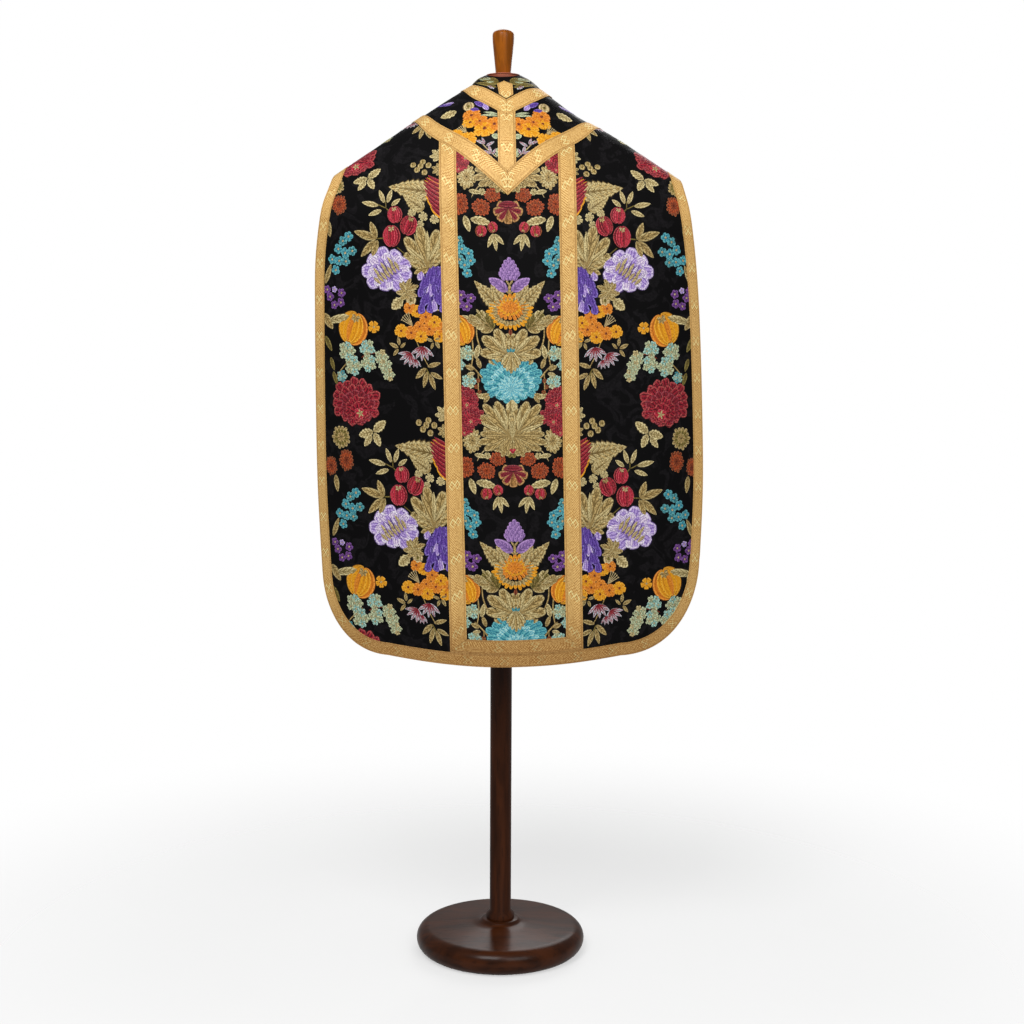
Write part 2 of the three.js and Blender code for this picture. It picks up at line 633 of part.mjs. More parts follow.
const chasuble = new THREE.Group();
chasuble.add(
  ...chasubleSide(BACK),
  ...chasubleSide(FRONT),
  galloon(BACK, centreBraid(BACK), 'centre_galloon'),
  neckBand(),
  neckTab(),
);
const form = new THREE.Group();
form.add(formTorso(), ...formTop(), ...stand());
const group = new THREE.Group();
group.add(chasuble, form);

export default group;
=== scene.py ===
"""Looks of a Roman chasuble of floral brocade on a dress form, around its packed solids.

The file is laid out as an add-on and is run as a script. Lengths are millimetres, as in the
part's source, and the meshes are made in metres. The cloth of the back and of the front is
one surface with flat places (p, q): p runs across from the middle, q runs down.
"""
import math
from itertools import product

import bmesh
import bpy
import numpy as np
from mathutils import Matrix, Vector


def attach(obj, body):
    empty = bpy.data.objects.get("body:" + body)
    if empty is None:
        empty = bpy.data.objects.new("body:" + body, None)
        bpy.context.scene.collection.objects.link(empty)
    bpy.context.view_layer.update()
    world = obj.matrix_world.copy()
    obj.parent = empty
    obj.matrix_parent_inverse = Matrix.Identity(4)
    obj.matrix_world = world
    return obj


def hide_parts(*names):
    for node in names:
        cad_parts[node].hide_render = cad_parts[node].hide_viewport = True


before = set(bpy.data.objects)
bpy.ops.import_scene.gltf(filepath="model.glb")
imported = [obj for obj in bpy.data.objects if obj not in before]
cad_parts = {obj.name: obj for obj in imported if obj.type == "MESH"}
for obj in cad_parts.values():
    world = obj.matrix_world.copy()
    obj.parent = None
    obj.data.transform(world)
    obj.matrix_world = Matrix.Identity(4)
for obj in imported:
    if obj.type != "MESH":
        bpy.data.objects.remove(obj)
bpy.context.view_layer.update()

bl_info = {
    "name": "Roman chasuble on a dress form",
    "version": (1, 0, 0),
    "blender": (4, 5, 0),
    "location": "3D View > Sidebar > Chasuble",
    "description": "Brocade panels, woven flowers, galloons, form, stand and studio",
    "category": "Object",
}

MM = 0.001
WALL, TRIM, SEAM = 2.0, 1.0, 0.3  # thickness of the lined cloth and of the braid, and the gap at seams
BRAID_OUTER, BRAID_INNER = 0.5, 0.12  # lifts of a braid's two faces over the cloth
GALLOON, EDGE_GALLOON, FOOT_GALLOON = 29.0, 21.0, 24.0  # widths of the braids
COLUMN = 98.0  # half width of the column between its seams
RIDGE_TOP, RIDGE_FALL, RIDGE_ROUND = 1564.6, 0.675, 45.0  # shoulder line: apex, slope, rounding
SLACK_AT, SLACK_WIDE, SLACK_DEEP = 122.0, 48.0, 8.0  # slack place on the right shoulder
CENTRE_HEIGHT = RIDGE_TOP - RIDGE_FALL * RIDGE_ROUND
SLOPE = math.radians(50)  # steepness of the cloth between the shoulder line and the turn where it hangs
TOP_RADIUS, TURN_RADIUS = 0.5, 1.2  # radii of the round top and of that turn, as shares of the depth
SHIFT = 4.5  # how far the garment sits to the right
SWING_RATE, SWING_FROM, SWING_ROUND = 0.0241, 1500.0, 80.0  # how it swings aside below a height
NECK_REACH, YOKE_REACH, BEND = 62.0, 157.0, 0.35  # upper ends of the V lines, and their curved share
SEAM_SLANT, BRAID_SLANT = 1.5, 0.55  # how far a line moves along the shoulder for each millimetre aside
CURVE, BOW = 530.0, 0.0003  # radius of the back across, and bow of the hem
FOLD_LENGTH = 260.0  # over which a fold forms
NEAR, CROWD, SPREAD = 1.1, 1.25, 0.9  # how the rows of the side panels crowd near the shoulder
HALF_STEP = 0.5  # for slopes of the surface
EDGE_STEPS = 12  # rounds that settle where the side edge meets the shoulder line
# Cells along a side panel's edge (near the shoulder, then below), its corner and its hem, and along its
# V seam and its column seam (two stretches). The edge and half the corner have as many as the seams.
NEAR_CELLS, EDGE_CELLS, CORNER_CELLS, HEM_CELLS = 14, 8, 8, 4
V_CELLS, TURN_CELLS, HUNG_CELLS = 6, 7, 13
REPEAT = 430.5  # height of one repeat of the woven pattern


def mix(a, b, t):
    return a + (b - a) * t


def smooth(t):
    t = np.clip(t, 0, 1)
    return t * t * (3 - 2 * t)


def table_curve(rows, x):
    """Value at x on a smooth curve through the (x, value) rows."""
    xs, ys = np.array(rows, float).T
    slopes = np.gradient(ys, xs)
    slopes[1:-1] = (ys[2:] - ys[:-2]) / (xs[2:] - xs[:-2])
    i = np.clip(np.searchsorted(xs, x) - 1, 0, len(xs) - 2)
    span = xs[i + 1] - xs[i]
    t = np.clip((x - xs[i]) / span, 0, 1)
    t2, t3 = t * t, t * t * t
    return ((2 * t3 - 3 * t2 + 1) * ys[i] + (t3 - 2 * t2 + t) * span * slopes[i]
            + (3 * t2 - 2 * t3) * ys[i + 1] + (t3 - t2) * span * slopes[i + 1])


def ridge_height(x):
    slack = SLACK_DEEP * np.exp(-(((x - SLACK_AT) / SLACK_WIDE) ** 2))
    return RIDGE_TOP - RIDGE_FALL * np.hypot(x, RIDGE_ROUND) - slack


def swing(z):
    below = SWING_FROM - z
    return SWING_RATE * (below + np.hypot(below, SWING_ROUND)) / 2


def stretches(depth):
    """Lengths of the round top, the slope and the turn of cloth that ends up this deep."""
    sin = math.sin(SLOPE)
    top, turn = TOP_RADIUS * depth, TURN_RADIUS * depth
    straight = (depth - top * sin - turn * (1 - sin)) / math.cos(SLOPE)
    return top * SLOPE, straight, turn * (math.pi / 2 - SLOPE)


def fall(depth, w):
    """How far out and down the cloth is at a length w below the shoulder line."""
    sin, cos = math.sin(SLOPE), math.cos(SLOPE)
    top, turn = TOP_RADIUS * depth, TURN_RADIUS * depth
    arc, straight, bend = stretches(depth)
    round_top = np.minimum(w, arc) / top
    slid = np.clip(w - arc, 0, straight)
    turned = SLOPE + np.clip(w - arc - straight, 0, bend) / turn
    hung = np.maximum(w - arc - straight - bend, 0)
    out = top * np.sin(round_top) + slid * cos + turn * (np.sin(turned) - sin)
    down = top * (1 - np.cos(round_top)) + slid * sin + turn * (cos - np.cos(turned)) + hung
    return out, down


class Side:
    """The back or the front of the garment as one surface.

    sign is the way it faces and depth how far it hangs from the middle. hem is the hem's q in the middle,
    slant its rise across, and corners the radii of its left and right corner. neck is the q of the
    neckline's tip and a factor on its slope, and yoke the q of the V seam's tip and its slope. outline has
    rows of q and half width, lean rows of q and how far the cloth lies to the left, and folds rows of p,
    how far a fold stands out, its width, and the q where it starts.
    """

    def __init__(self, name, sign, depth, hem, slant, corners, neck, yoke, outline, lean, folds):
        self.name, self.sign, self.depth, self.hem, self.slant = name, sign, depth, hem, slant
        self.corner = {-1: corners[0], 1: corners[1]}
        self.neck_tip, self.neck_cut = neck
        self.yoke_tip, self.yoke_slope = yoke
        self.outline, self.lean, self.folds = outline, lean, folds

    def across(self, p):
        return CURVE * np.sin(p / CURVE) + SHIFT

    def depth_at(self, p):
        return self.depth - CURVE * (1 - np.cos(p / CURVE))

    def turn_length(self, p):
        return sum(stretches(self.depth_at(p)))

    def ridge_q(self, p):
        length = self.turn_length(p)
        down = fall(self.depth_at(p), length)[1]
        return CENTRE_HEIGHT - ridge_height(self.across(p)) + down - length

    def surface(self, p, q):
        out, down = fall(self.depth_at(p), q - self.ridge_q(p))
        for at, stand, wide, start in self.folds:
            out = out + stand * smooth((q - start) / FOLD_LENGTH) * np.exp(-(((p - at) / wide) ** 2))
        x = self.across(p)
        z = ridge_height(x) - down
        return np.stack([x + swing(z), self.sign * out, z], -1)

    def point(self, places, lift=0.0):
        """Points of the cloth's outer face at flat places, moved out by lift."""
        p, q = places[..., 0], places[..., 1]
        along_p = self.surface(p + HALF_STEP, q) - self.surface(p - HALF_STEP, q)
        along_q = self.surface(p, q + HALF_STEP) - self.surface(p, q - HALF_STEP)
        normal = np.cross(along_p, along_q) * self.sign
        normal /= np.linalg.norm(normal, axis=-1, keepdims=True)
        return self.surface(p, q) + normal * np.asarray(lift)[..., None]

    def half_width(self, hand, q):
        return table_curve(self.outline, q) - hand * table_curve(self.lean, q)

    def hem_q(self, p):
        return self.hem - BOW * p * p - self.slant * p

    def from_ridge(self, p, w):
        return np.stack([p + 0 * w, self.ridge_q(p) + w], -1)

    def edge_top(self, hand):
        p = self.outline[1][1]
        for _ in range(EDGE_STEPS):
            p = float(self.half_width(hand, self.ridge_q(hand * p)))
        return p

    def neck_v(self, gap):
        slope = (self.neck_tip - self.ridge_q(NECK_REACH)) / NECK_REACH * self.neck_cut
        return {"tip": self.neck_tip + gap, "reach": NECK_REACH + gap, "slope": slope}

    def yoke_v(self, gap):
        return {"tip": self.yoke_tip + gap * math.hypot(1, self.yoke_slope),
                "reach": YOKE_REACH + gap * SEAM_SLANT, "slope": self.yoke_slope}

    def v_line(self, hand, v, p):
        """A V line of the yoke or neck: straight from its tip, then up to the shoulder."""
        tip, slope, reach = v["tip"], v["slope"], v["reach"]
        turn = reach * (1 - BEND)
        turn_q, end_q = tip - slope * turn, self.ridge_q(hand * reach) + SEAM / 2
        t = np.clip((p - turn) / (reach - turn), 0, None)
        straight = tip - slope * p
        return np.stack([hand * p, mix(straight, mix(turn_q, end_q, t), t * t)], -1)

    def outline_places(self, hand, inset, fine=3):
        """Side edge, bottom corner and hem, from the shoulder to the column."""
        top = self.edge_top(hand)
        start = self.ridge_q(hand * top)
        length = self.turn_length(top)
        corner = self.corner[hand]
        half = float(self.half_width(hand, self.hem - corner)) - corner
        middle = self.hem_q(hand * half) - corner
        slant = start - self.ridge_q(hand * (top - inset))
        t = np.linspace(0, 1, NEAR_CELLS * fine + 1)
        near = start + mix(SEAM / 2, length * NEAR, t ** CROWD) - slant * (1 - t)
        far = np.linspace(start + length * NEAR, middle, EDGE_CELLS * fine + 1)[1:]
        q = np.concatenate([near, far])
        p = self.half_width(hand, q)
        p[0] = top
        edge = np.stack([hand * (p - inset), q], -1)
        angle = np.linspace(0, math.pi / 2, CORNER_CELLS * fine + 1)[1:]
        radius = corner - inset
        arc = np.stack([hand * (half + radius * np.cos(angle)), middle + radius * np.sin(angle)], -1)
        p = np.linspace(half, COLUMN, HEM_CELLS * fine + 1)[1:]
        hem = np.stack([hand * p, self.hem_q(hand * p) - inset], -1)
        return edge, arc, hem

    def column_rows(self, hand, fine):
        top = self.yoke_v(0)["tip"] - self.yoke_slope * COLUMN
        turned = self.ridge_q(COLUMN) + self.turn_length(COLUMN) - top
        end = self.hem_q(hand * COLUMN) - top
        return np.concatenate([np.linspace(0, turned, TURN_CELLS * fine + 1),
                               np.linspace(turned, end, HUNG_CELLS * fine + 1)[1:]])


BACK = Side(
    "back", -1, 150.0, 990.0, 0.025, (135.0, 162.0), (28.0, 0.8), (191.0, 0.92),
    [(60, 296), (150, 312), (235, 333), (312, 346), (400, 352), (560, 357), (700, 358), (850, 350),
     (1000, 341)],
    [(60, 0), (150, 1), (235, 6), (312, 8), (400, 7), (560, 7), (700, 8), (850, 11), (1000, 13)],
    [(-300, 4, 55, 280), (-190, -4, 62, 420), (-40, 3, 60, 520), (150, -4, 60, 380), (268, 5, 58, 300)])
FRONT = Side(
    "front", 1, 138.0, 915.0, 0.0, (110.0, 110.0), (168.0, 0.97), (300.0, 1.75),
    [(60, 296), (140, 311), (200, 300), (290, 262), (390, 238), (500, 232), (620, 242), (740, 266),
     (850, 286), (950, 296)],
    [(60, 0), (950, 0)],
    [(-190, 5, 58, 330), (-60, -4, 60, 460), (75, 4, 58, 400), (205, -5, 60, 360)])


# Fineness of the grids: down the column, of a yoke, across a braid and the edge's, and along each braid
COLUMN_ROWS, YOKE_FINE, BRAID_PARTS, EDGE_PARTS = 110, 26, 12, 10
COLUMN_BRAID_ROWS, FOOT_BRAID_ROWS, CENTRE_BRAID_ROWS, HEM_ROWS, V_STEPS, V_CELL = 260, 70, 50, 34, 120, 3
EDGE_OVERHANG = 0.4  # the edge galloon covers the cut edge by this
FOOT_LOW = EDGE_GALLOON + SEAM
FOOT_HIGH = FOOT_LOW + FOOT_GALLOON
COLUMN_SIDES = ((COLUMN - GALLOON / 2, FOOT_HIGH), (COLUMN + GALLOON / 2, FOOT_LOW))


def patch(top, bottom, left, right):
    """Grid of places between four border lines."""
    t = np.linspace(0, 1, len(left))[:, None, None]
    s = np.linspace(0, 1, len(top))[None, :, None]
    corners = ((1 - s) * (1 - t) * top[0] + s * (1 - t) * top[-1]
               + (1 - s) * t * bottom[0] + s * t * bottom[-1])
    return (1 - t) * top[None] + t * bottom[None] + (1 - s) * left[:, None] + s * right[:, None] - corners


def side_grid(side, hand, fine=3):
    gap = SEAM / 2
    v = side.yoke_v(gap)
    seam_top = side.v_line(hand, v, np.linspace(COLUMN + gap, v["reach"], V_CELLS * fine + 1))[::-1]
    down = side.column_rows(hand, fine)[1:]
    seam = np.stack([np.full(len(down), hand * (COLUMN + gap)), seam_top[-1, 1] + down], -1)
    seam[-1, 1] = side.hem_q(hand * COLUMN)
    inner = np.concatenate([seam_top, seam])
    edge, arc, hem = side.outline_places(hand, 0, fine)
    turn = CORNER_CELLS // 2 * fine
    outer = np.concatenate([edge, arc[:turn]])
    bottom = np.concatenate([arc[turn - 1:], hem])[::-1].copy()
    bottom[0] = inner[-1]
    t = np.linspace(0, 1, len(bottom)) ** SPREAD
    top = side.from_ridge(hand * mix(v["reach"], abs(edge[0, 0]), t), gap + 0 * t)
    return patch(top, bottom, inner, outer)


def column_grid(side):
    gap = SEAM / 2
    half = side.v_line(1, side.yoke_v(gap), np.linspace(0, COLUMN - gap, 15))
    top = np.concatenate([half[::-1] * (-1.0, 1.0), half[1:]])
    t = np.linspace(0, 1, COLUMN_ROWS)[:, None]
    q = mix(top[None, :, 1], side.hem_q(top[None, :, 0]), t)
    return np.stack([top[None, :, 0] + 0 * q, q], -1)


def yoke_grid(side):
    neck, yoke = side.neck_v(0), side.yoke_v(-SEAM / 2)

    def line(v):
        left, right = (side.v_line(hand, v, np.linspace(0, v["reach"], YOKE_FINE)) for hand in (-1, 1))
        return np.concatenate([left[::-1], right[1:]])

    def ridge(hand):
        p = hand * np.linspace(neck["reach"], yoke["reach"], YOKE_FINE)
        return side.from_ridge(p, SEAM / 2 + 0 * p)
    return patch(line(neck), line(yoke), ridge(-1), ridge(1))


def lengths_along(line):
    return np.concatenate([[0], np.cumsum(np.linalg.norm(np.diff(line, axis=0), axis=1))])


def evenly(line, count):
    """The line's places spread evenly along its length."""
    run = lengths_along(line)
    at = np.linspace(0, run[-1], count)
    return np.stack([np.interp(at, run, line[:, 0]), np.interp(at, run, line[:, 1])], -1)


def ribbon(first, second, parts=BRAID_PARTS):
    t = np.linspace(0, 1, parts + 1)[None, :, None]
    return mix(first[:, None], second[:, None], t)


def v_braid(side, hand, v, above, below):
    stretch = math.hypot(1, v["slope"])
    lines = []
    for by in (-above, below):
        edge = {**v, "tip": v["tip"] + by * stretch, "reach": v["reach"] + by * BRAID_SLANT}
        p = np.linspace(SEAM / 2, edge["reach"], V_STEPS)
        lines.append(evenly(side.v_line(hand, edge, p), int(v["reach"] * stretch / V_CELL)))
    return ribbon(*lines)


def beside_yoke(side, way, p):
    v = side.yoke_v(0)
    return v["tip"] + way * (GALLOON / 2 + SEAM) * math.hypot(1, v["slope"]) - v["slope"] * abs(p)


def column_braid(side, hand):
    lines = []
    for p, rise in COLUMN_SIDES:
        q = np.linspace(beside_yoke(side, 1, p), side.hem_q(hand * p) - rise - SEAM, COLUMN_BRAID_ROWS)
        lines.append(np.stack([np.full(len(q), hand * p), q], -1))
    return ribbon(*lines)


def foot_braid(side):
    lines = []
    for half, rise in COLUMN_SIDES:
        p = np.linspace(-half, half, FOOT_BRAID_ROWS)
        lines.append(np.stack([p, side.hem_q(p) - rise], -1))
    return ribbon(*lines)


def edge_braid(side):
    def line(inset):
        halves = []
        for hand in (-1, 1):
            edge, arc, hem = side.outline_places(hand, inset, 4)
            edge[0] = side.from_ridge(edge[0, 0], SEAM / 2)
            halves.append(np.concatenate([edge, arc, hem]))
        p = np.linspace(-COLUMN, COLUMN, HEM_ROWS)[1:-1]
        middle = np.stack([p, side.hem_q(p) - inset], -1)
        return np.concatenate([halves[0], middle, halves[1][::-1]])
    return ribbon(line(-EDGE_OVERHANG), line(EDGE_GALLOON), EDGE_PARTS)


def centre_braid(side):
    half, neck = GALLOON / 2, side.neck_v(0)
    p = np.linspace(-half, half, BRAID_PARTS + 1)
    top = neck["tip"] + (GALLOON + SEAM) * math.hypot(1, neck["slope"]) - neck["slope"] * abs(p)
    bottom = beside_yoke(side, -1, p)
    t = np.linspace(0, 1, CENTRE_BRAID_ROWS)[:, None]
    return np.stack([p + 0 * t, mix(top, bottom, t)], -1)


# Meshes

def faces_of(rows, columns, start=0, flip=False):
    i, j = np.meshgrid(np.arange(rows - 1), np.arange(columns - 1), indexing="ij")
    a = start + (i * columns + j).ravel()
    quads = np.stack([a, a + columns, a + columns + 1, a + 1], -1)
    return quads[:, ::-1] if flip else quads


SHARP = math.radians(50)  # angle from which an edge isn't shaded round
WELD = 1e-5  # metres within which points are one


def make_mesh(name, points, faces, finishes, marks=(), slots=None):
    """Object from points in mm. marks are (name, values) of vectors kept on the points."""
    mesh = bpy.data.meshes.new(name)
    mesh.from_pydata((np.asarray(points) * MM).tolist(), [], [list(map(int, f)) for f in faces])
    for mark, values in marks:
        kind = "FLOAT_COLOR" if np.shape(values)[1] == 4 else "FLOAT_VECTOR"
        layer = mesh.attributes.new(mark, kind, "POINT")
        layer.data.foreach_set("color" if kind == "FLOAT_COLOR" else "vector", np.ravel(values))
    for finish in finishes:
        mesh.materials.append(finish)
    if slots is not None:
        mesh.polygons.foreach_set("material_index", np.asarray(slots, np.int32))
    mesh.polygons.foreach_set("use_smooth", np.ones(len(mesh.polygons), bool))
    mesh.set_sharp_from_angle(angle=SHARP)
    mesh.update()
    piece = bpy.data.objects.new(name, mesh)
    bpy.context.scene.collection.objects.link(piece)
    return piece


def weld(piece):
    """Joins points that fall on one place."""
    shape = bmesh.new()
    shape.from_mesh(piece.data)
    bmesh.ops.remove_doubles(shape, verts=shape.verts, dist=WELD)
    shape.to_mesh(piece.data)
    shape.free()


def cloth_wall(name, surface, grid, lifts, flat, finishes):
    """Closed wall over flat places, between two lifts. Its second finish is for the inner face."""
    outer, inner = (surface.point(grid, lift).reshape(-1, 3) for lift in lifts)
    rows, columns = grid.shape[:2]
    count = rows * columns
    order = np.arange(count).reshape(rows, columns)
    face, back = faces_of(rows, columns), faces_of(rows, columns, count, True)
    rim = np.concatenate([order[:, 0], order[-1, 1:], order[::-1, -1][1:], order[0, ::-1][1:-1]])
    after = np.roll(rim, -1)
    edge = np.stack([rim, rim + count, after + count, after], -1)
    quads = np.concatenate([face, back, edge])
    # Grids of the side panels of one hand and of the yoke run the other way round
    run = np.cross(grid[1, 0] - grid[0, 0], grid[0, 1] - grid[0, 0])
    if (run > 0) != (surface.sign > 0):
        quads = quads[:, ::-1]
    slots = np.concatenate([np.zeros(len(face)), np.ones(len(back)), np.zeros(len(edge))])
    marks = [("flat", np.concatenate([flat.reshape(count, 3)] * 2))]
    return make_mesh(name, np.concatenate([outer, inner]), quads, finishes, marks, slots)


def settle(piece, slot, *nodes):
    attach(piece, "root")
    if nodes:
        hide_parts(*nodes)
    return piece


def lined_cloth(name, surface, grid, finishes, node):
    flat = np.concatenate([grid, np.zeros(grid.shape[:2] + (1,))], -1)
    return settle(cloth_wall(name, surface, grid, (0.0, -WALL), flat, finishes), "brocade", node)


def braid_profile(t):
    """Height of a galloon over its thickness: two cords at its borders and a raised field."""
    cord = np.exp(-(((np.abs(t) - 0.9) / 0.07) ** 2)) + 0.8 * np.exp(-(((np.abs(t) - 0.72) / 0.06) ** 2))
    return 0.75 + 0.35 * cord


def flat_braid(name, surface, grid, run, width, finish, node):
    """Braid over flat places; run is how far along it each row lies."""
    across = np.linspace(-1, 1, grid.shape[1])[None, :] + 0 * grid[..., 0]
    marks = np.stack([run + 0 * across, across, np.full_like(across, width)], -1)
    lifts = (BRAID_OUTER + TRIM * braid_profile(across), BRAID_INNER)
    return settle(cloth_wall(name, surface, grid, lifts, marks, [finish, finish]), "braid", node)


def flat_area(grid):
    d = np.cross(grid[1:, 1:] - grid[:-1, :-1], grid[1:, :-1] - grid[:-1, 1:])
    return float(np.abs(d).sum() / 2) * MM * MM


def panel(side, grid, part, finishes):
    """Brocade panel. Its flat places' extents and area are worked out but not kept."""
    piece = lined_cloth(f"{side.name}_{part}_cloth", side, grid, finishes, f"{side.name}_{part}")
    size = (grid.reshape(-1, 2).max(0) - grid.reshape(-1, 2).min(0)) * MM
    flat_area(grid)


def galloon(side, grid, part, finish, width):
    run = lengths_along(grid[:, grid.shape[1] // 2])
    piece = flat_braid(f"{side.name}_{part}_braid", side, grid, run[:, None], width, finish,
                       f"{side.name}_{part}")


# Neck band and tab

BAND = {"top_radius": 31.0, "top_height": 1529.0, "side_rise": 6.0, "open_from": math.radians(122),
        "bulge": 2.5, "round_cells": 120, "high_cells": 18}
BAND_ROUND, BAND_HIGH = 52.0, 55.0  # millimetres of band for a radian round the neck, and up to its top
# The tab's heights are shares of the band's
TAB = {"half": 14.0, "point": 0.6, "foot": 0.04, "shoulder": 0.49, "peak": 0.76, "foot_radius": 74.0}


class NeckBand:
    """The standing band as one surface: p runs round the neck from the nape, and q is minus the rise."""

    sign = -1

    def foot(self, turn):
        points = np.zeros(turn.shape + (3,))
        for side, there in ((BACK, np.abs(turn) <= math.pi / 2), (FRONT, np.abs(turn) > math.pi / 2)):
            for hand in (-1, 1):
                neck = side.neck_v(-2 * SEAM)
                places = side.v_line(hand, neck, neck["reach"] * np.abs(np.sin(turn)))
                mine = (there & ((turn < 0) == (hand < 0)))[..., None]
                points = np.where(mine, side.point(places), points)
        return points

    def point(self, places, lift=0.0):
        turn, rise = places[..., 0] / BAND_ROUND, -places[..., 1] / BAND_HIGH
        foot = self.foot(turn)
        out = np.stack([np.sin(turn), -np.cos(turn), 0 * turn], -1)
        height = BAND["top_height"] + BAND["side_rise"] * np.sin(turn) ** 2
        head = out * BAND["top_radius"] + np.stack([0 * turn, 0 * turn, height], -1)
        round_neck = np.stack([np.cos(turn), np.sin(turn), 0 * turn], -1)
        normal = np.cross(round_neck, head - foot)
        normal /= np.linalg.norm(normal, axis=-1, keepdims=True)
        normal *= np.where((normal * out).sum(-1, keepdims=True) < 0, -1, 1)
        proud = BAND["bulge"] * np.sin(math.pi * rise) + lift
        return mix(foot, head, rise[..., None]) + normal * proud[..., None]


def band_grid():
    half = BAND["open_from"] * BAND_ROUND
    p, q = np.meshgrid(np.linspace(-half, half, BAND["round_cells"] + 1),
                       np.linspace(0, -BAND_HIGH, BAND["high_cells"] + 1))
    return np.stack([p, q], -1)


def tab_grid():
    rises = np.concatenate([np.linspace(TAB["foot"], TAB["shoulder"], 16),
                            np.linspace(TAB["shoulder"], TAB["peak"], 12)[1:]])
    left = np.minimum((TAB["peak"] - rises) / (TAB["peak"] - TAB["shoulder"]), 1)
    half = np.maximum(TAB["half"] * left, TAB["point"]) / mix(TAB["foot_radius"], BAND["top_radius"], rises)
    p = half[:, None] * np.linspace(-1, 1, BRAID_PARTS + 1)[None, :] * BAND_ROUND
    return np.stack([p, -rises[:, None] * BAND_HIGH + 0 * p], -1)


# Dress form and stand

FORM = {"half": 205.0, "back": 116.0, "front": 112.0, "flat_top": 1522.0, "clear": 0.95, "foot": 780.0,
        "trunk_top": 1330.0, "low_rows": (800.0, 790.0), "plan": 2.6, "tip_fall": 16.0, "tip_turn": 14}
TRUNK = [  # height, then shares of the half width and of the front and back half depths
    (1330, 0.97, 0.99, 0.98), (1250, 0.88, 1.0, 0.98), (1160, 0.83, 0.96, 0.9), (1070, 0.79, 0.88, 0.82),
    (980, 0.82, 0.86, 0.85), (890, 0.86, 0.87, 0.93), (820, 0.86, 0.86, 0.94), (780, 0.84, 0.84, 0.92)]
TORSO_SECTIONS, TORSO_SHOULDER_ROWS, TORSO_TRUNK_ROWS = 73, 22, 34


def trunk_shares(z):
    rows = TRUNK[::-1]
    return [table_curve([(row[0], row[i]) for row in rows], z) for i in (1, 2, 3)]


def torso_points():
    """Sections from shoulder tip to shoulder tip, each up the front, over and down the back."""
    u = np.sin(np.linspace(-1, 1, TORSO_SECTIONS) * math.pi / 2)
    thin = np.sqrt(np.clip(1 - np.abs(u) ** FORM["plan"], 0, None))
    x = FORM["half"] * u
    under = (WALL + FORM["clear"]) * math.hypot(1, RIDGE_FALL)
    crest = ridge_height(x) - under - FORM["tip_fall"] * np.abs(u) ** FORM["tip_turn"]
    reach, low, lower = 1.4, *FORM["low_rows"]
    shares = np.concatenate([np.linspace(0, reach, TORSO_SHOULDER_ROWS), [1.6, 1.8]])
    heights = np.concatenate([np.linspace(FORM["trunk_top"], low, TORSO_TRUNK_ROWS), [lower, FORM["foot"]]])
    width, front, back = trunk_shares(heights)
    halves = []
    for middle, sign, share in ((FORM["front"], 1, front), (FORM["back"], -1, back)):
        depth = np.maximum(middle * thin, 1e-3)[:, None]
        out, down = fall(depth, shares[None, :] * depth)
        high = np.minimum(crest[:, None] - down, FORM["flat_top"])
        top = np.stack([x[:, None] + 0 * out, sign * out, high], -1)
        trunk = np.stack([x[:, None] * width, sign * depth * share, heights + 0 * depth], -1)
        halves.append(np.concatenate([top, trunk], 1))
    return np.concatenate([halves[0][:, ::-1], halves[1][:, 1:]], 1), u


def lathe(name, rows, foot, finish, sides=96):
    """Piece turned on a lathe from (radius, height) rows that start and end on its axis."""
    angle = np.arange(sides) * 2 * math.pi / sides
    inside = rows[1:-1]
    points = [[r * np.cos(angle), r * np.sin(angle), 0 * angle + foot + z] for r, z in inside]
    points = np.transpose(points, (0, 2, 1)).reshape(-1, 3)
    ends = [[0, 0, foot + rows[0][1]], [0, 0, foot + rows[-1][1]]]
    turns = [(j, (j + 1) % sides) for j in range(sides)]
    faces = [[i * sides + j, i * sides + k, (i + 1) * sides + k, (i + 1) * sides + j]
             for i in range(len(inside) - 1) for j, k in turns]
    last, low = (len(inside) - 1) * sides, len(points)
    faces += [[low, k, j] for j, k in turns]
    faces += [[low + 1, last + j, last + k] for j, k in turns]
    return make_mesh(name, np.concatenate([points, ends]), faces, [finish])


# Radius and height of the turned pieces' outlines, from their own foot
CAP = [(0, 0), (27.6, 0), (27.6, 11.9), (28.3, 12.3), (29, 13.1), (28.9, 13.7), (28.2, 14.1), (22, 15.4),
       (14.8, 16.7), (0, 16.7)]
FINIAL = [(0, 0), (12.8, 0), (13.1, 2.5), (14.6, 18), (16.3, 34), (17.8, 49.2), (18.35, 57), (18.4, 63.2),
          (18.1, 65), (17.5, 66.7), (16.3, 68.1), (14.9, 69.3), (13.2, 70), (9.6, 71.6), (6, 72.6),
          (3, 73.1), (0, 73.2)]
BASE_RADIUS, BASE_THICK = 150.0, 44.0
HUB = [(64, 48), (52, 48.6), (40, 50), (36.5, 51.6), (34, 54), (32.6, 55.4), (31, 56), (0, 56)]
POLE, COLLAR, COLLAR_HIGH = 19.0, 25.0, 16.0


def base_rows():
    bend = BASE_THICK / 2
    rim = [(BASE_RADIUS - bend + bend * math.cos(a), bend + bend * math.sin(a))
           for a in np.linspace(-math.pi / 2, math.pi / 2, 25)]
    return [(0, 0)] + rim + HUB


def pole_rows(length):
    collar = [(0, 0), (COLLAR, 0), (COLLAR, COLLAR_HIGH / 2), (POLE, COLLAR_HIGH)]
    return collar + [(r, length - z) for r, z in collar[::-1]]


# Woven flowers

# Shapes of petals: how fast they widen from the root and narrow to the tip
LEAF, ROUND, FAN, STEM, FERN = (0.7, 0.9), (0.5, 0.5), (0.9, 0.35), (0.12, 0.2), (0.5, 1.1)
PETAL_LIFT, LEVEL_LIFT, CROWN, TOP_LEVEL = 0.1, 0.07, 0.24, 6  # millimetres over the cloth
SLIVER = 0.02  # square millimetres under which a facet is left out


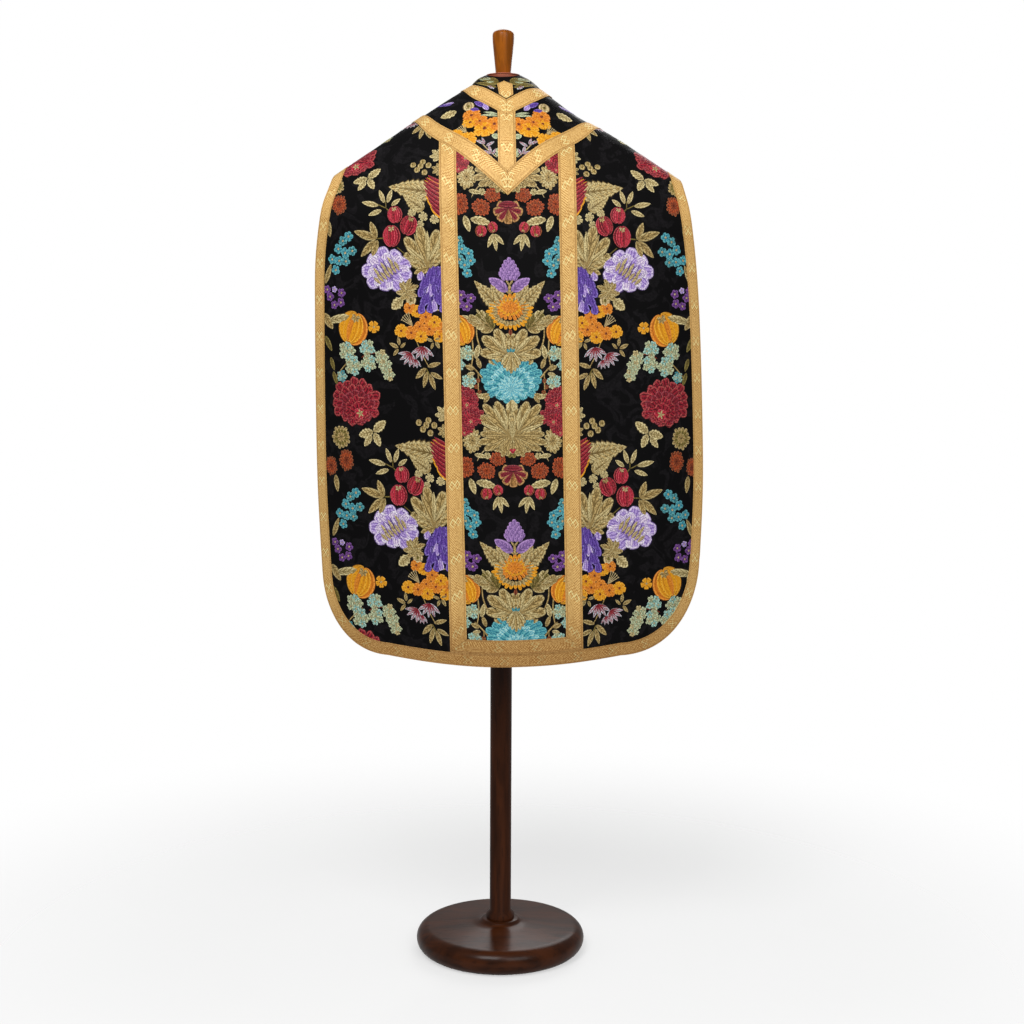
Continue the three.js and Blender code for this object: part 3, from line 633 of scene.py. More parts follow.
class Loom:
    """Petals woven over one cloth. room gives the lowest and highest p and q at a place."""

    def __init__(self, room):
        self.room = room
        self.parts = []  # for each petal: places, lifts, petal and tip marks, and its three colours

    def finish(self, name, cloth, finish):
        faces, start = [], 0
        for grid, *_ in self.parts:
            rows, columns = grid.shape[:2]
            faces.append(faces_of(rows, columns, start))
            start += rows * columns
        places, lifts, petals, tips = (
            np.concatenate([part[i].reshape(-1, size) for part in self.parts])
            for i, size in ((0, 2), (1, 1), (2, 3), (3, 1)))
        colours = [np.concatenate([np.tile(part[4][tone], (part[1].size, 1)) for part in self.parts])
                   for tone in range(3)]
        faces = np.concatenate(faces)
        p, q = places[faces].mean(1).T
        low_p, high_p, low_q, high_q = self.room(p, q)
        faces = faces[(np.abs(p) >= low_p) & (np.abs(p) <= high_p) & (q >= low_q) & (q <= high_q)]
        low_p, high_p, _, _ = self.room(places[:, 0], places[:, 1])
        kept = np.sign(places[:, 0]) * np.clip(np.abs(places[:, 0]), low_p, high_p)
        _, _, low_q, high_q = self.room(kept, places[:, 1])
        places = np.stack([kept, np.clip(places[:, 1], low_q, high_q)], -1)
        corners = places[faces]
        a, b = corners[:, 2] - corners[:, 0], corners[:, 3] - corners[:, 1]
        run = a[:, 0] * b[:, 1] - a[:, 1] * b[:, 0]
        faces, run = faces[np.abs(run) > SLIVER], run[np.abs(run) > SLIVER]
        turned = (run > 0) != (cloth.sign > 0)
        faces[turned] = faces[turned][:, ::-1]
        used, faces = np.unique(faces, return_inverse=True)
        marks = [("flat", np.concatenate([places, tips], 1)[used]), ("petal", petals[used])]
        marks += [(name, colour[used]) for name, colour in zip(("light", "deep", "edge"), colours)]
        points = cloth.point(places[used], lifts[used, 0])
        return settle(make_mesh(name, points, faces.reshape(-1, 4), [finish], marks), "brocade")


class Pen:
    """Draws motifs about one place of the cloth; x and y are millimetres along p and q."""

    def __init__(self, loom, inks, p, q, turn=0.0, hand=1):
        self.loom, self.inks, self.p, self.q, self.hand = loom, inks, p, q, hand
        self.cos, self.sin = math.cos(math.radians(turn)), math.sin(math.radians(turn))

    def petal(self, x, y, heading, length, width, ink, shape=LEAF, ribs=2, level=0, bend=0.0, teeth=0):
        """One petal from (x, y) along heading, in degrees clockwise from p. Negative ribs are leaf veins."""
        rows = max(7 if length > 9 else 6, teeth * 4 + 1, int(length / 4) + 1)
        t = np.linspace(0, 1, rows)[:, None]
        u = t if teeth else mix(t, (1 - np.cos(math.pi * t)) / 2, 0.7)
        v = np.linspace(-1, 1, 7 if width > 11 else 5 if width > 4 else 3)[None, :]
        rise, drop = shape
        peak = rise / (rise + drop)
        half = width / 2 * u ** rise * (1 - u) ** drop / (peak ** rise * (1 - peak) ** drop)
        if teeth:
            half = half * (1.12 - 0.3 * ((u * teeth) % 1))
        start, curve = math.radians(heading), math.radians(bend) or 1e-4
        angle = start + curve * u
        along = length / curve
        a = x + along * (np.sin(angle) - math.sin(start)) - np.sin(angle) * half * v
        b = y + along * (math.cos(start) - np.cos(angle)) + np.cos(angle) * half * v
        p = self.hand * (self.p + self.cos * a - self.sin * b)
        q = self.q + self.sin * a + self.cos * b
        crown = CROWN * (1 - v * v) * (4 * u * (1 - u)) ** 0.5
        lift = PETAL_LIFT + LEVEL_LIFT * min(level, TOP_LEVEL) + crown
        plain = shape is STEM
        petal = np.stack([u + 0 * v, v * (0.4 if plain else 1) + 0 * u, 0 * u + 0 * v + ribs], -1)
        tip = np.clip(1 - (1 - u) * length / (width / 2), 0, 0 if plain else 1) + 0 * v
        self.loom.parts.append((np.stack([p, q], -1), lift, petal, tip, self.inks[ink]))

    def whorl(self, wide, high, rings, at=(0.0, 0.0), shift=(0.0, 0.0), twist=0.0):
        """Rings of petals on ellipses. A ring is count, start, inner, outer, width, ink, shape, ribs."""
        for level, (count, start, inner, outer, width, ink, shape, ribs) in enumerate(rings):
            cx, cy = at[0] + shift[0] * level, at[1] + shift[1] * level
            for k in range(count):
                angle = math.radians(start + 360 * k / count)
                cos, sin = math.cos(angle) * wide / 2, math.sin(angle) * high / 2
                reach = outer * (1 - 0.06 * math.sin(2.4 * k + count))
                x, y = cx + inner * cos, cy + inner * sin
                dx, dy = (reach - inner) * cos, (reach - inner) * sin
                self.petal(x, y, math.degrees(math.atan2(dy, dx)), math.hypot(dx, dy),
                           width * (wide + high) / 4, ink, shape, ribs, level, twist * (-1) ** level)

    def disc(self, x, y, radius, ink, ribs=3, level=1):
        self.petal(x, y - radius, 90, 2 * radius, 2 * radius, ink, ROUND, ribs, level)


def cabbage_rose(pen, wide, high):
    """Small ruffled petals in rows that close in on a pale patch."""
    x, y = 0.1 * wide, 0.24 * high
    pen.whorl(wide, high, [
        (15, 5, 0.66, 1.0, 0.44, "crimson", ROUND, 3), (14, 0, 0.5, 0.86, 0.42, "crimson", ROUND, 3),
        (13, 12, 0.38, 0.72, 0.4, "maroon", ROUND, 3), (11, 0, 0.24, 0.57, 0.38, "crimson", ROUND, 3),
        (9, 20, 0.1, 0.42, 0.36, "crimson", ROUND, 2), (5, 0, 0.0, 0.27, 0.3, "tulip", ROUND, 2)],
        shift=(x / 5, y / 5), twist=26)
    for heading, bend in ((215, 40), (262, -30), (330, 50)):
        pen.petal(x, y, heading, 0.36 * wide, 1.8, "tulip", STEM, 1, 6, bend)
    for k in range(5):
        pen.petal(x, y, 40 + 72 * k, 0.1 * high, 0.07 * high, "cream", LEAF, 1, 6)


def turquoise_peony(pen, wide, high):
    pen.whorl(wide, high, [
        (19, 5, 0.66, 1.0, 0.33, "turquoise", ROUND, 3), (18, 0, 0.52, 0.87, 0.31, "turquoise", ROUND, 3),
        (17, 11, 0.4, 0.74, 0.28, "sky", ROUND, 3), (16, 0, 0.28, 0.62, 0.25, "turquoise", ROUND, 2),
        (14, 13, 0.14, 0.5, 0.22, "sky", LEAF, 2), (11, 0, 0.0, 0.36, 0.18, "sky", LEAF, 2)],
        shift=(0, 0.042 * high))
    for k in (0, 6, 1, 5, 2, 4, 3):
        pen.petal(0, -high / 2 - 3, 90 + (k - 3) * 11.5, 38 - abs(k - 3) * 3.4, 9,
                  "gold" if k % 2 else "pale_gold", ROUND, 2, 6)
    for x, heading in ((-2, 235), (0, 270), (2, 305)):
        pen.petal(x, -high / 2, heading, 8, 5, "teal", LEAF, 2, 6)


def lilac_peony(pen, wide, high):
    pen.whorl(wide, high, [
        (9, 18, 0.34, 1.0, 0.66, "lilac", ROUND, 5), (8, 40, 0.26, 0.84, 0.52, "pale_lilac", ROUND, 5),
        (9, 0, 0.1, 0.66, 0.42, "lilac", LEAF, 4), (8, 22, 0.0, 0.5, 0.36, "deep_lilac", LEAF, 3)])
    for k in range(7):
        along = (k - 3) / 3
        x, y = along * wide * 0.2 - 1, -along * high * 0.17 + 1
        pen.petal(x - 5, y - 3, 50 + 10 * along, 19, 6.4, "cream", LEAF, 2, 6)
        pen.petal(x, y, 232, 18, 5.8, "pale_gold" if k % 2 else "pale_lilac", LEAF, 2, 6)


def violet_bloom(pen, wide, high):
    """Lumps of wavy strands, longer than wide."""
    pen.petal(0, -high * 0.46, 90, high * 0.94, wide * 0.9, "violet", ROUND, 4, 0)
    for row in range(5):
        for k in range(5):
            x, y, way = (k - 2) * 0.2 * wide, (0.19 * row - 0.46) * high + abs(k - 2) * 2, (-1) ** (k + row)
            pen.petal(x, y, 90 + 26 * way - x * 0.5, high * 0.32, wide * 0.3,
                      "lilac" if (3 * k + 2 * row) % 7 == 0 else "violet", FAN, 3, row + 1, -52 * way)


def sunflower(pen, wide, high):
    """Rays under a dome of scales, seen a little from above."""
    pen.whorl(wide, high, [
        (28, 0, 0.62, 1.0, 0.21, "amber", ROUND, 2), (26, 6, 0.5, 0.82, 0.2, "gold", ROUND, 1)])
    pen.whorl(wide * 0.76, high * 0.72, [
        (20, 0, 0.7, 1.0, 0.27, "orange", ROUND, 1), (17, 9, 0.52, 0.84, 0.27, "orange", ROUND, 1),
        (14, 0, 0.36, 0.68, 0.27, "amber", ROUND, 1), (11, 12, 0.2, 0.52, 0.26, "orange", ROUND, 1),
        (7, 0, 0.0, 0.34, 0.26, "orange", ROUND, 1)], at=(0, -0.12 * high))


def mum(pen, wide, high, ink="amber", heart="gold"):
    pen.whorl(wide, high, [
        (14, 0, 0.45, 1.0, 0.4, ink, ROUND, 2), (12, 13, 0.25, 0.78, 0.36, heart, ROUND, 2),
        (8, 0, 0.05, 0.5, 0.36, ink, ROUND, 2)])


def ribbed_fruit(pen, wide, high, ink="amber", other="orange", star="gold"):
    """Ball of ribs between its two ends, with a small star at the top."""
    for level, share in enumerate((-1.0, 1.0, -0.6, 0.6, -0.2, 0.2)):
        half = 2 * math.atan2(abs(share) * wide * 0.36, high / 2)
        arc = high * half / math.sin(half)
        turn = math.degrees(half) * (1 if share > 0 else -1)
        rib_ink = other if level % 3 == 1 else ink
        pen.petal(0, -high / 2, 90 - turn, arc, wide * 0.3, rib_ink, ROUND, 2, level, 2 * turn)
    for k in range(5):
        pen.petal(0, high * 0.14 - high / 2, 90 + (k - 2) * 58, high * 0.18, wide * 0.12, star, LEAF, 1, 6)


def blossom(pen, radius, ink="orange", heart="rust", count=6):
    pen.whorl(2 * radius, 2 * radius, [
        (count, 15, 0.12, 1.0, 0.9, ink, FAN, 3), (count - 1, 40, 0.0, 0.56, 0.5, ink, FAN, 2)])
    pen.disc(0, 0, radius * 0.2, heart, 1, 3)


def floret(pen, radius, ink, heart="cream"):
    pen.whorl(2 * radius, 2 * radius, [(5, 0, 0.1, 1.0, 0.92, ink, ROUND, 1)])
    pen.disc(0, 0, radius * 0.24, heart, 1, 2)


def cone_bud(pen, wide, high, ink="bud_lilac"):
    """Pointed bud of scales, the lower ones over the upper ones."""
    rows = ((-0.22, 1, 0.0), (-0.12, 2, 0.08), (0.04, 3, 0.17), (0.2, 4, 0.27), (0.36, 5, 0.33),
            (0.5, 4, 0.22))
    for level, (y, count, reach) in enumerate(rows):
        for k in range(count):
            side = (2 * k + 1 - count) / max(count - 1, 1)
            pen.petal(side * reach * wide, y * high, 270 + side * 22, high * 0.3, wide * 0.25,
                      ink, ROUND, 1, level)
    for heading in (235, 305):
        pen.petal(0, high / 2 + 7, heading, 11, 3.6, "gold", LEAF, 1, 6)


def ball(pen, radius, ink="sage", heart="mist"):
    """Cluster of florets with pale middles."""
    for k in range(6):
        x, y = (radius * 0.6 * turn(k * math.pi * 0.4) * (k < 5) for turn in (math.cos, math.sin))
        ring = (5, 24 * k, 0.1, 1.0, 0.84, heart if k % 3 == 1 else ink, ROUND, 1)
        pen.whorl(radius * 0.98, radius * 0.98, [ring], at=(x, y))
        pen.disc(x, y, radius * 0.11, "cream", 1, 4)


def berries(pen, radius, places, ink="gold"):
    for x, y in places:
        pen.disc(x, y, radius, ink, 3)
        pen.disc(x, y, radius * 0.35, "olive", 1, 3)


def acanthus(pen, length, wide, ink="gold", pairs=4, spread=60.0, bend=0.0, light="pale_gold"):
    """Lobed leaf that grows along x, its lobes shorter and closer towards the tip."""
    for k in range(pairs):
        share = k / pairs
        reach = wide * (0.74 - 0.2 * share)
        for sign in (-1, 1):
            pen.petal(length * 0.66 * share, 0, sign * (spread - 24 * share), reach, reach * 0.56,
                      light if (k + sign) % 3 == 0 else ink, ROUND, -4, k, -sign * 30)
            pen.petal(length * (0.66 * share + 0.08), 0, sign * (spread * 0.6 - 14 * share),
                      reach * 0.9, reach * 0.3, ink, LEAF, -3, k + 1, -sign * 24)
    pen.petal(length * 0.34, 0, 0, length * 0.66, wide * 0.3, light, LEAF, -5, pairs, bend)


def vine_leaf(pen, length, wide, ink="gold", light="pale_gold", spread=76.0):
    """Broad leaf of five lobes spread from its stalk."""
    for level, (way, share) in enumerate(((-1, 0.68), (1, 0.68), (-0.52, 0.9), (0.52, 0.9), (0, 1.0))):
        heading = way * spread
        pen.petal(0, 0, heading, length * share, wide * 0.4, ink, ROUND, -5, level)
        for side in (-16, 16):
            pen.petal(length * 0.1, 0, heading + side * 0.8, length * share * 0.74, wide * 0.17,
                      light if side * (way or 1) > 0 else ink, LEAF, 2, level + 1)


def leaf(pen, length, wide, ink="gold", ribs=-5, bend=0.0, teeth=0):
    pen.petal(0, 0, 0, length, wide, ink, LEAF, ribs, 1, bend, teeth)


def sprig(pen, leaves, ink="gold", stem=None):
    """Leaves from one place: heading, length and width each. stem is a heading, a length and a bend."""
    if stem:
        pen.petal(0, 0, stem[0], stem[1], 2.2, "olive", STEM, 1, 0, stem[2])
    for x, y, heading, length, wide in leaves:
        pen.petal(x, y, heading, length, wide, ink, LEAF, -4, 1)


def flame(pen, wide, high):
    """Feathered flower seen from the side, in red strands edged with amber."""
    for k in range(8):
        y = high * (k / 7 - 0.5)
        reach = wide * (0.75 + 0.5 * math.sin(math.pi * (k + 0.8) / 8.6))
        pen.petal(wide / 2, y + 8.5, 190 + k * 2, reach * 1.04, 6.5, "amber", LEAF, 1, 0, 34)
        pen.petal(wide / 2, y + 5, 192 + k * 2, reach, 8.5, "crimson", LEAF, 2, 2, 34)


def fern(pen, length, wide, ink="gold"):
    pen.petal(0, 0, 0, length, wide, ink, FERN, -9, 0, 0, 9)
    for k in range(6):
        for sign in (-1, 1):
            pen.petal(length * (0.06 + 0.13 * k), 0, sign * (38 - 2 * k), wide * (0.6 - 0.07 * k),
                      wide * 0.17, "pale_gold", LEAF, 2, 1, -sign * 14)


def lily(pen, wide, high):
    for k in range(5):
        heading = 90 + (k - 2) * 27
        pen.petal(0, -high * 0.4, heading, high * 0.95, wide * 0.26, "lily", LEAF, 2, 1)
        pen.petal(0, -high * 0.4, heading + 9, high * 0.62, wide * 0.1, "crimson", LEAF, 1, 3)


def stamens(pen, length, count=5, spread=14.0):
    for k in range(count):
        heading = 270 + (k - (count - 1) / 2) * spread
        pen.petal(0, 0, heading, length, 1.5, "cream", STEM, 1, 1)
        angle = math.radians(heading)
        pen.disc(length * math.cos(angle), length * math.sin(angle), 1.6, "cream", 1, 2)


def heart(pen, wide):
    pen.whorl(wide * 2.2, wide * 2.4, [(9, 0, 0.4, 1.0, 0.56, "olive", ROUND, 2)])
    for sign in (-1, 1):
        pen.petal(0, wide * 0.5, 270 + sign * 26, wide * 0.95, wide * 0.56, "tulip", FAN, 1, 3)


def shell(pen, wide, high):
    """Seven lobes that open downwards from a small crown."""
    for level, k in enumerate((0, 6, 1, 5, 2, 4, 3)):
        heading = 90 + (k - 3) * 38
        reach = high * (0.64 if abs(k - 3) < 3 else 0.5)
        pen.petal(0, -high * 0.12, heading, reach, wide * 0.36, "rim_gold", FAN, 1, level)
        pen.petal(0, -high * 0.12, heading, reach * 0.9, wide * 0.25, "maroon", FAN, 3, level + 1)
    pen.petal(-wide * 0.3, -high * 0.3, 0, wide * 0.6, high * 0.3, "maroon", ROUND, 3, 6)


def stem(pen, length, bend=0.0, wide=1.8, ink="olive"):
    pen.petal(0, 0, 0, length, wide, ink, STEM, 1, 0, bend)


# The woven pattern: each motif with rows of p and q of its middle on the left half, turn, and its own
# measures. The right half mirrors it, and both repeat down the cloth.

SIDE_PATTERN = [
    (leaf, (-242, 600, -38, 31, 18, "pale_gold", -5, 0, 5), (-243, 600, 166, 30, 18, "pale_gold", -5, 0, 5),
     (-241, 602, 64, 26, 15, "pale_gold", -5, 0, 4), (-246, 606, 128, 25, 13, "pale_gold", -5, 0, 4)),
    (cabbage_rose, (-277, 550, 0, 100, 82)),
    (mum, (-309, 611, 0, 40, 40, "gold", "olive"), (-299, 650, 0, 32, 38, "rust", "flame"),
     (-333, 661, 0, 28, 34, "rust", "flame")), (leaf, (-324, 676, 82, 30, 13)),
    (berries, (-146, 588, 0, 5.8, [(-12, -5), (5, -9), (-5, 6), (15, -1), (8, 12), (1, -1)])),
    (vine_leaf, (-110, 572, 228, 22, 22, "pale_gold"), (-110, 598, 205, 17, 16)),
    (fern, (-125, 636, 190, 80, 40), (-140, 664, 214, 44, 26)), (flame, (-122, 644, 0, 36, 56)),
    (sprig,
     (-207, 660, 0, [(-14, -5, 192, 33, 11), (-8, 3, 162, 27, 10), (-3, -9, 248, 26, 10),
       (3, -9, 288, 25, 10), (10, -4, 325, 20, 9)], "pale_gold", (40, 18, 20))),
    (stem, (-207, 660, 205, 18), (-207, 660, 268, 14)),
    (ribbed_fruit, (-191, 671, -6, 28, 26, "tulip", "crimson", "cream"),
     (-167, 689, 24, 31, 31, "crimson", "tulip"), (-198, 706, 0, 33, 34, "tulip", "crimson", "cream")),
    (blossom, (-161, 669, 0, 7, "pale_gold", "cream", 5), (-141, 675, 30, 8, "pale_gold", "cream", 5),
     (-146, 687, 0, 6, "pale_gold", "cream", 5), (-122, 680, 10, 8, "pale_gold", "cream", 5)),
    (sprig,
     (-226, 710, 0, [(0, 0, 197, 46, 16), (0, 0, 249, 31, 15), (-2, 2, 137, 40, 15),
       (2, 2, 112, 30, 13)], "gold", (-6, 22, 10))),
    (floret, (-281, 705, 0, 9.5, "turquoise"), (-293, 712, 20, 9, "teal"),
     (-303, 725, 20, 9.5, "turquoise"), (-289, 732, 50, 9.5, "turquoise"), (-274, 729, 0, 9, "teal"),
     (-317, 742, 40, 9, "turquoise"), (-302, 745, 0, 9, "turquoise"), (-288, 746, 10, 9, "teal"),
     (-310, 760, 30, 9, "turquoise")), (vine_leaf, (-134, 758, 258, 72, 62, "gold", "pale_gold", 52.0)),
    (leaf, (-132, 748, 188, 44, 20, "pale_gold"), (-128, 756, 160, 34, 16)),
    (stem, (-189, 724, 40, 60, -10), (-192, 734, 32, 66, 10)), (lilac_peony, (-208, 331, 0, 98, 76)),
    (violet_bloom, (-124, 356, 0, 48, 72)),
    (vine_leaf, (-170, 372, -128, 26, 24), (-178, 366, -20, 28, 22)),
    (leaf, (-181, 378, 140, 27, 20, "pale_gold", -5, 0, 4)),
    (berries, (-166, 380, 0, 10, [(0, 0)], "cream")),
    (blossom, (-169, 393, 0, 11), (-156, 399, 20, 11, "amber"), (-141, 408, 0, 12),
     (-126, 417, 30, 12, "amber"), (-185, 431, 30, 12, "amber"), (-167, 434, 0, 12),
     (-150, 440, 10, 12, "amber"), (-135, 428, 40, 12), (-112, 428, 0, 13), (-152, 424, 40, 10),
     (-118, 440, 0, 11, "amber")), (stamens, (-164, 423, -40, 22, 5, 11.0)),
    (stem, (-150, 398, -10, 50, 24, 1.6, "pale_gold"), (-150, 402, -16, 50, 24, 1.6, "pale_gold")),
    (floret, (-324, 374, 0, 8.5, "purple"), (-299, 368, 10, 8.5, "purple"), (-301, 384, 20, 8.5, "purple"),
     (-315, 388, 0, 8, "purple"), (-330, 362, 0, 8, "purple"), (-314, 362, 0, 6, "lilac")),
    (leaf, (-334, 352, -66, 36, 12), (-334, 418, -20, 80, 16, "pale_gold", -7, 34), (-340, 402, 52, 34, 18),
     (-338, 440, 60, 30, 12, "olive")), (ribbed_fruit, (-277, 427, 20, 60, 50)),
    (blossom, (-236, 425, 0, 11, "amber", "cream", 5)),
    (ball, (-291, 465, 0, 17), (-250, 460, 20, 15, "mist", "sage"), (-279, 490, 0, 17), (-248, 485, 30, 15),
     (-223, 475, 0, 13, "sage", "pale_gold"), (-216, 490, 40, 13, "sage", "sage"),
     (-210, 504, 0, 11, "sage", "pale_gold"), (-303, 508, 0, 10.5, "mist", "teal")),
    (stem, (-318, 512, -50, 60, 16, 2.2, "gold"), (-262, 476, -30, 30, 30, 2.0, "rust")),
    (leaf, (-327, 476, 70, 24, 10, "olive"), (-322, 500, 70, 24, 10, "olive")),
    (sprig,
     (-191, 459, 0, [(0, 0, 205, 18, 8), (2, -4, 262, 15, 7), (0, 2, 130, 15, 7), (4, 0, 318, 13, 6)]),
     (-129, 448, 0, [(0, 0, 200, 14, 6), (2, -2, 340, 15, 6), (4, 0, 60, 14, 7), (0, 2, 110, 12, 6)])),
    (lily, (-174, 476, 34, 30, 25), (-148, 467, 6, 32, 26), (-162, 484, 20, 18, 16)),
    (stem, (-158, 448, 70, 48, -12, 1.8, "gold")),
    (sprig,
     (-143, 492, 0, [(0, 0, 135, 26, 11), (2, 6, 104, 28, 10), (6, 10, 70, 28, 10), (8, 8, 26, 23, 9),
       (3, -2, 344, 24, 9)], "gold", (60, 16, 10))),
]

COLUMN_PATTERN = [
    (stem, (-0.5, 372, -90, 20, 0, 3.0, "gold"), (-1, 370, 225, 12, 0, 2.4, "gold")),
    (fern, (-14, 396, 227, 66, 28), (-10, 392, 243, 46, 26)), (leaf, (-3, 366, 215, 38, 21, "bud_lilac")),
    (acanthus, (-28, 426, 202, 56, 30, "gold", 4, 46.0), (-30, 428, 232, 42, 30, "olive", 3, 46.0)),
    (floret, (-71, 391, 0, 9, "purple"), (-80, 372, 20, 9, "purple"), (-64, 377, 0, 8.5, "purple"),
     (-83, 386, 0, 8.5, "purple")), (ribbed_fruit, (-82, 430, -20, 46, 46)),
    (vine_leaf, (-3, 470, 214, 54, 56, "gold", "pale_gold", 56.0)),
    (berries, (0, 458, 0, 3.2, [(0, 0), (-4, 5)], "pale_gold")),
    (stem, (-55, 420, 100, 56, -50, 2.4, "gold"), (-66, 432, 76, 62, 30, 2.4, "gold")),
    (ball, (-73, 467, 0, 12.5), (-70, 513, 0, 12.5, "mist", "sage"), (-86, 486, 0, 10, "mist")),
    (leaf, (-58, 476, -78, 24, 11, "pale_gold"), (-50, 492, -110, 20, 9), (-62, 494, 205, 16, 9),
     (-60, 500, 170, 14, 8, "pale_gold")),
    (stem, (-70, 484, 40, 44, 20, 2.4, "gold"), (-54, 498, 96, 44, -14, 2.2, "gold")),
    (berries, (-55, 512, 0, 4, [(0, 0), (-3, 10), (2, 19)], "rust")),
    (leaf, (-60, 534, 20, 22, 10, "pale_gold"), (-54, 540, -20, 20, 9), (-46, 548, -50, 16, 8)),
    (cabbage_rose, (-80, 542, 0, 54, 42), (-74, 570, 0, 56, 40), (-84, 592, 0, 44, 26)),
    (vine_leaf, (-4, 602, 230, 68, 50, "gold", "pale_gold", 36.0),
     (-2, 602, 167, 58, 42, "gold", "gold", 30.0), (-1, 602, 116, 40, 34, "gold", "gold", 22.0)),
    (mum, (-67, 611, 0, 32, 42, "gold", "pale_gold"), (-78, 655, 0, 28, 36, "flame", "rust"),
     (-44, 661, 20, 32, 28, "flame", "rust"), (-25, 641, 0, 28, 24, "flame", "rust")),
    (leaf, (-64, 634, 10, 22, 9, "pale_gold")), (stem, (-24, 612, 160, 50, -46, 1.8, "cream")),
    (blossom, (-42, 636, 0, 6, "pale_gold", "olive", 5)),
    (leaf, (-62, 680, 4, 36, 15, "pale_gold", -5, 20, 5), (-72, 674, 72, 28, 13, "pale_gold")),
    (ribbed_fruit, (-45, 699, 180, 20, 18, "tulip", "rust"), (-26, 693, 160, 18, 17, "tulip", "rust")),
    (sprig, (-25, 703, 0, [(0, 0, 112, 25, 9), (1, 1, 82, 28, 9), (2, 1, 48, 23, 9)], "pale_gold")),
    (floret, (-83, 714, 20, 9, "teal"), (-77, 728, 0, 9, "turquoise"), (-66, 735, 40, 9, "turquoise"),
     (-81, 745, 10, 9, "teal"), (-63, 747, 0, 8.5, "turquoise"), (-73, 754, 15, 9, "turquoise"),
     (-69, 767, 30, 8.6, "turquoise"), (-88, 733, 30, 8.4, "turquoise")),
]

CENTRE_PATTERN = [
    (cone_bud, (0, 330, 0, 35, 38)), (sunflower, (0, 399, 0, 76, 60)), (leaf, (0, 440, -90, 14, 7, "rust")),
    (turquoise_peony, (0, 508, 0, 103, 84)), (leaf, (0, 566, 270, 26, 22, "pale_gold", 2)),
    (acanthus, (0, 566, 90, 46, 20, "pale_gold")),
    (leaf, (0, 600, 90, 34, 26), (0, 596, 90, 24, 10, "cream")), (heart, (0, 626, 0, 12)),
    (shell, (0, 668, 0, 44, 40)),
]

YOKE_PATTERN = [
    (leaf, (-35, 41, 218, 24, 12, "violet", 3), (-30, 50, 240, 20, 11, "lilac", 3),
     (-45, 48, 200, 18, 10, "violet", 3), (-92, 24, 206, 30, 11, "violet", 3),
     (-88, 20, 190, 24, 9, "lilac", 3), (-84, 42, 150, 30, 18, "pale_gold", -5, 20, 4)),
    (berries, (-63, 36, 0, 10.5, [(0, 0)], "cream")),
    (blossom, (-58, 58, 0, 16), (-60, 74, 20, 14, "amber"), (-84, 98, 0, 13, "amber"),
     (-66, 112, 0, 17, "amber"), (-44, 74, 0, 14), (-36, 92, 10, 19, "amber"), (-20, 84, 30, 17)),
    (leaf, (-14, 66, 200, 30, 6, "sage", 2, -20), (-14, 62, 208, 26, 5, "sage", 2, -20)),
    (stamens, (-66, 98, -30, 20, 5, 10.0)), (leaf, (-12, 112, 200, 14, 12, "sage")),
    (sprig, (-36, 124, 0, [(0, 0, 210, 18, 6), (0, 0, 250, 14, 5), (2, 4, 330, 16, 6)], "lily"),
     (-26, 142, 0, [(0, 0, 200, 17, 6), (0, 0, 256, 16, 6), (2, 2, 300, 13, 5),
       (0, 4, 100, 16, 6)], "lily")), (stem, (-46, 114, 60, 46, -20, 1.8, "cream")),
    (ball, (-10, 140, 0, 10, "sage", "cream")),
]

BAND_PATTERN = [
    (acanthus, (-12, -36, 170, 50, 30, "olive", 5, 44.0, 0.0, "sage")),
    (leaf, (-14, -18, 168, 44, 14, "olive")),
    (acanthus, (-60, -30, 184, 46, 30, "olive", 5, 44.0, 0.0, "sage")),
    (leaf, (-58, -14, 176, 40, 12, "olive")),
    (blossom, (-24, -12, 0, 6, "lily", "crimson", 5), (-96, -16, 0, 8, "rust")),
    (leaf, (-104, -34, 180, 24, 12, "sage")),
]


def weave_pattern(loom, inks, pattern, hands=(-1, 1), repeats=(-1, 0, 1), slip=0.0):
    """slip moves the pattern of the right half towards the middle, as that panel was cut."""
    for again in repeats:
        for motif, *rows in pattern:
            for (p, q, turn, *measures), hand in product(rows, hands):
                place = p + slip if hand > 0 else p
                motif(Pen(loom, inks, place, q + again * REPEAT, turn, -hand), *measures)


UNDER_BRAID = 9.0  # how far the flowers run on under a galloon
RIGHT_SLIP = 6.5  # how far the pattern of the right side panels lies nearer the middle
SEAM_STEPS, NECK_STEPS = 90, 60  # points of the V lines that the flowers keep to
ABOVE = -200.0  # a q that no cloth reaches, past the end of a V line
# Bare borders at the shoulder line, at the yoke's side, and at the side and the long edges of the band
RIDGE_BORDER, YOKE_BORDER, BAND_SIDE, BAND_BORDER = 1.0, 4.0, 3.0, 2.0


# A room gives the lowest and highest p and q between which flowers lie on a piece

def side_room(side, hand):
    v = side.v_line(1, side.yoke_v(0), np.linspace(0, YOKE_REACH, SEAM_STEPS))
    inset = EDGE_GALLOON - UNDER_BRAID
    corner = side.corner[hand]
    half = float(side.half_width(hand, side.hem - corner)) - corner
    middle = side.hem_q(hand * half) - corner
    radius = corner - inset

    def room(p, q):
        bend = half + np.sqrt(np.clip(radius ** 2 - (q - middle) ** 2, 0, None))
        high = np.where(q > middle, bend, side.half_width(hand, q) - inset)
        seam = np.interp(np.abs(p), v[:, 0], v[:, 1], right=ABOVE)
        low_q = np.maximum(seam + GALLOON / 2 - UNDER_BRAID, side.ridge_q(p) + RIDGE_BORDER)
        return COLUMN + GALLOON / 2 - UNDER_BRAID, high, low_q, side.hem_q(p) - inset
    return room


def column_room(side):
    v = side.yoke_v(0)

    def room(p, q):
        low_q = v["tip"] - v["slope"] * np.abs(p) + GALLOON / 2 - UNDER_BRAID
        return 0, COLUMN - GALLOON / 2 + UNDER_BRAID, low_q, side.hem_q(p) - FOOT_HIGH + UNDER_BRAID
    return room


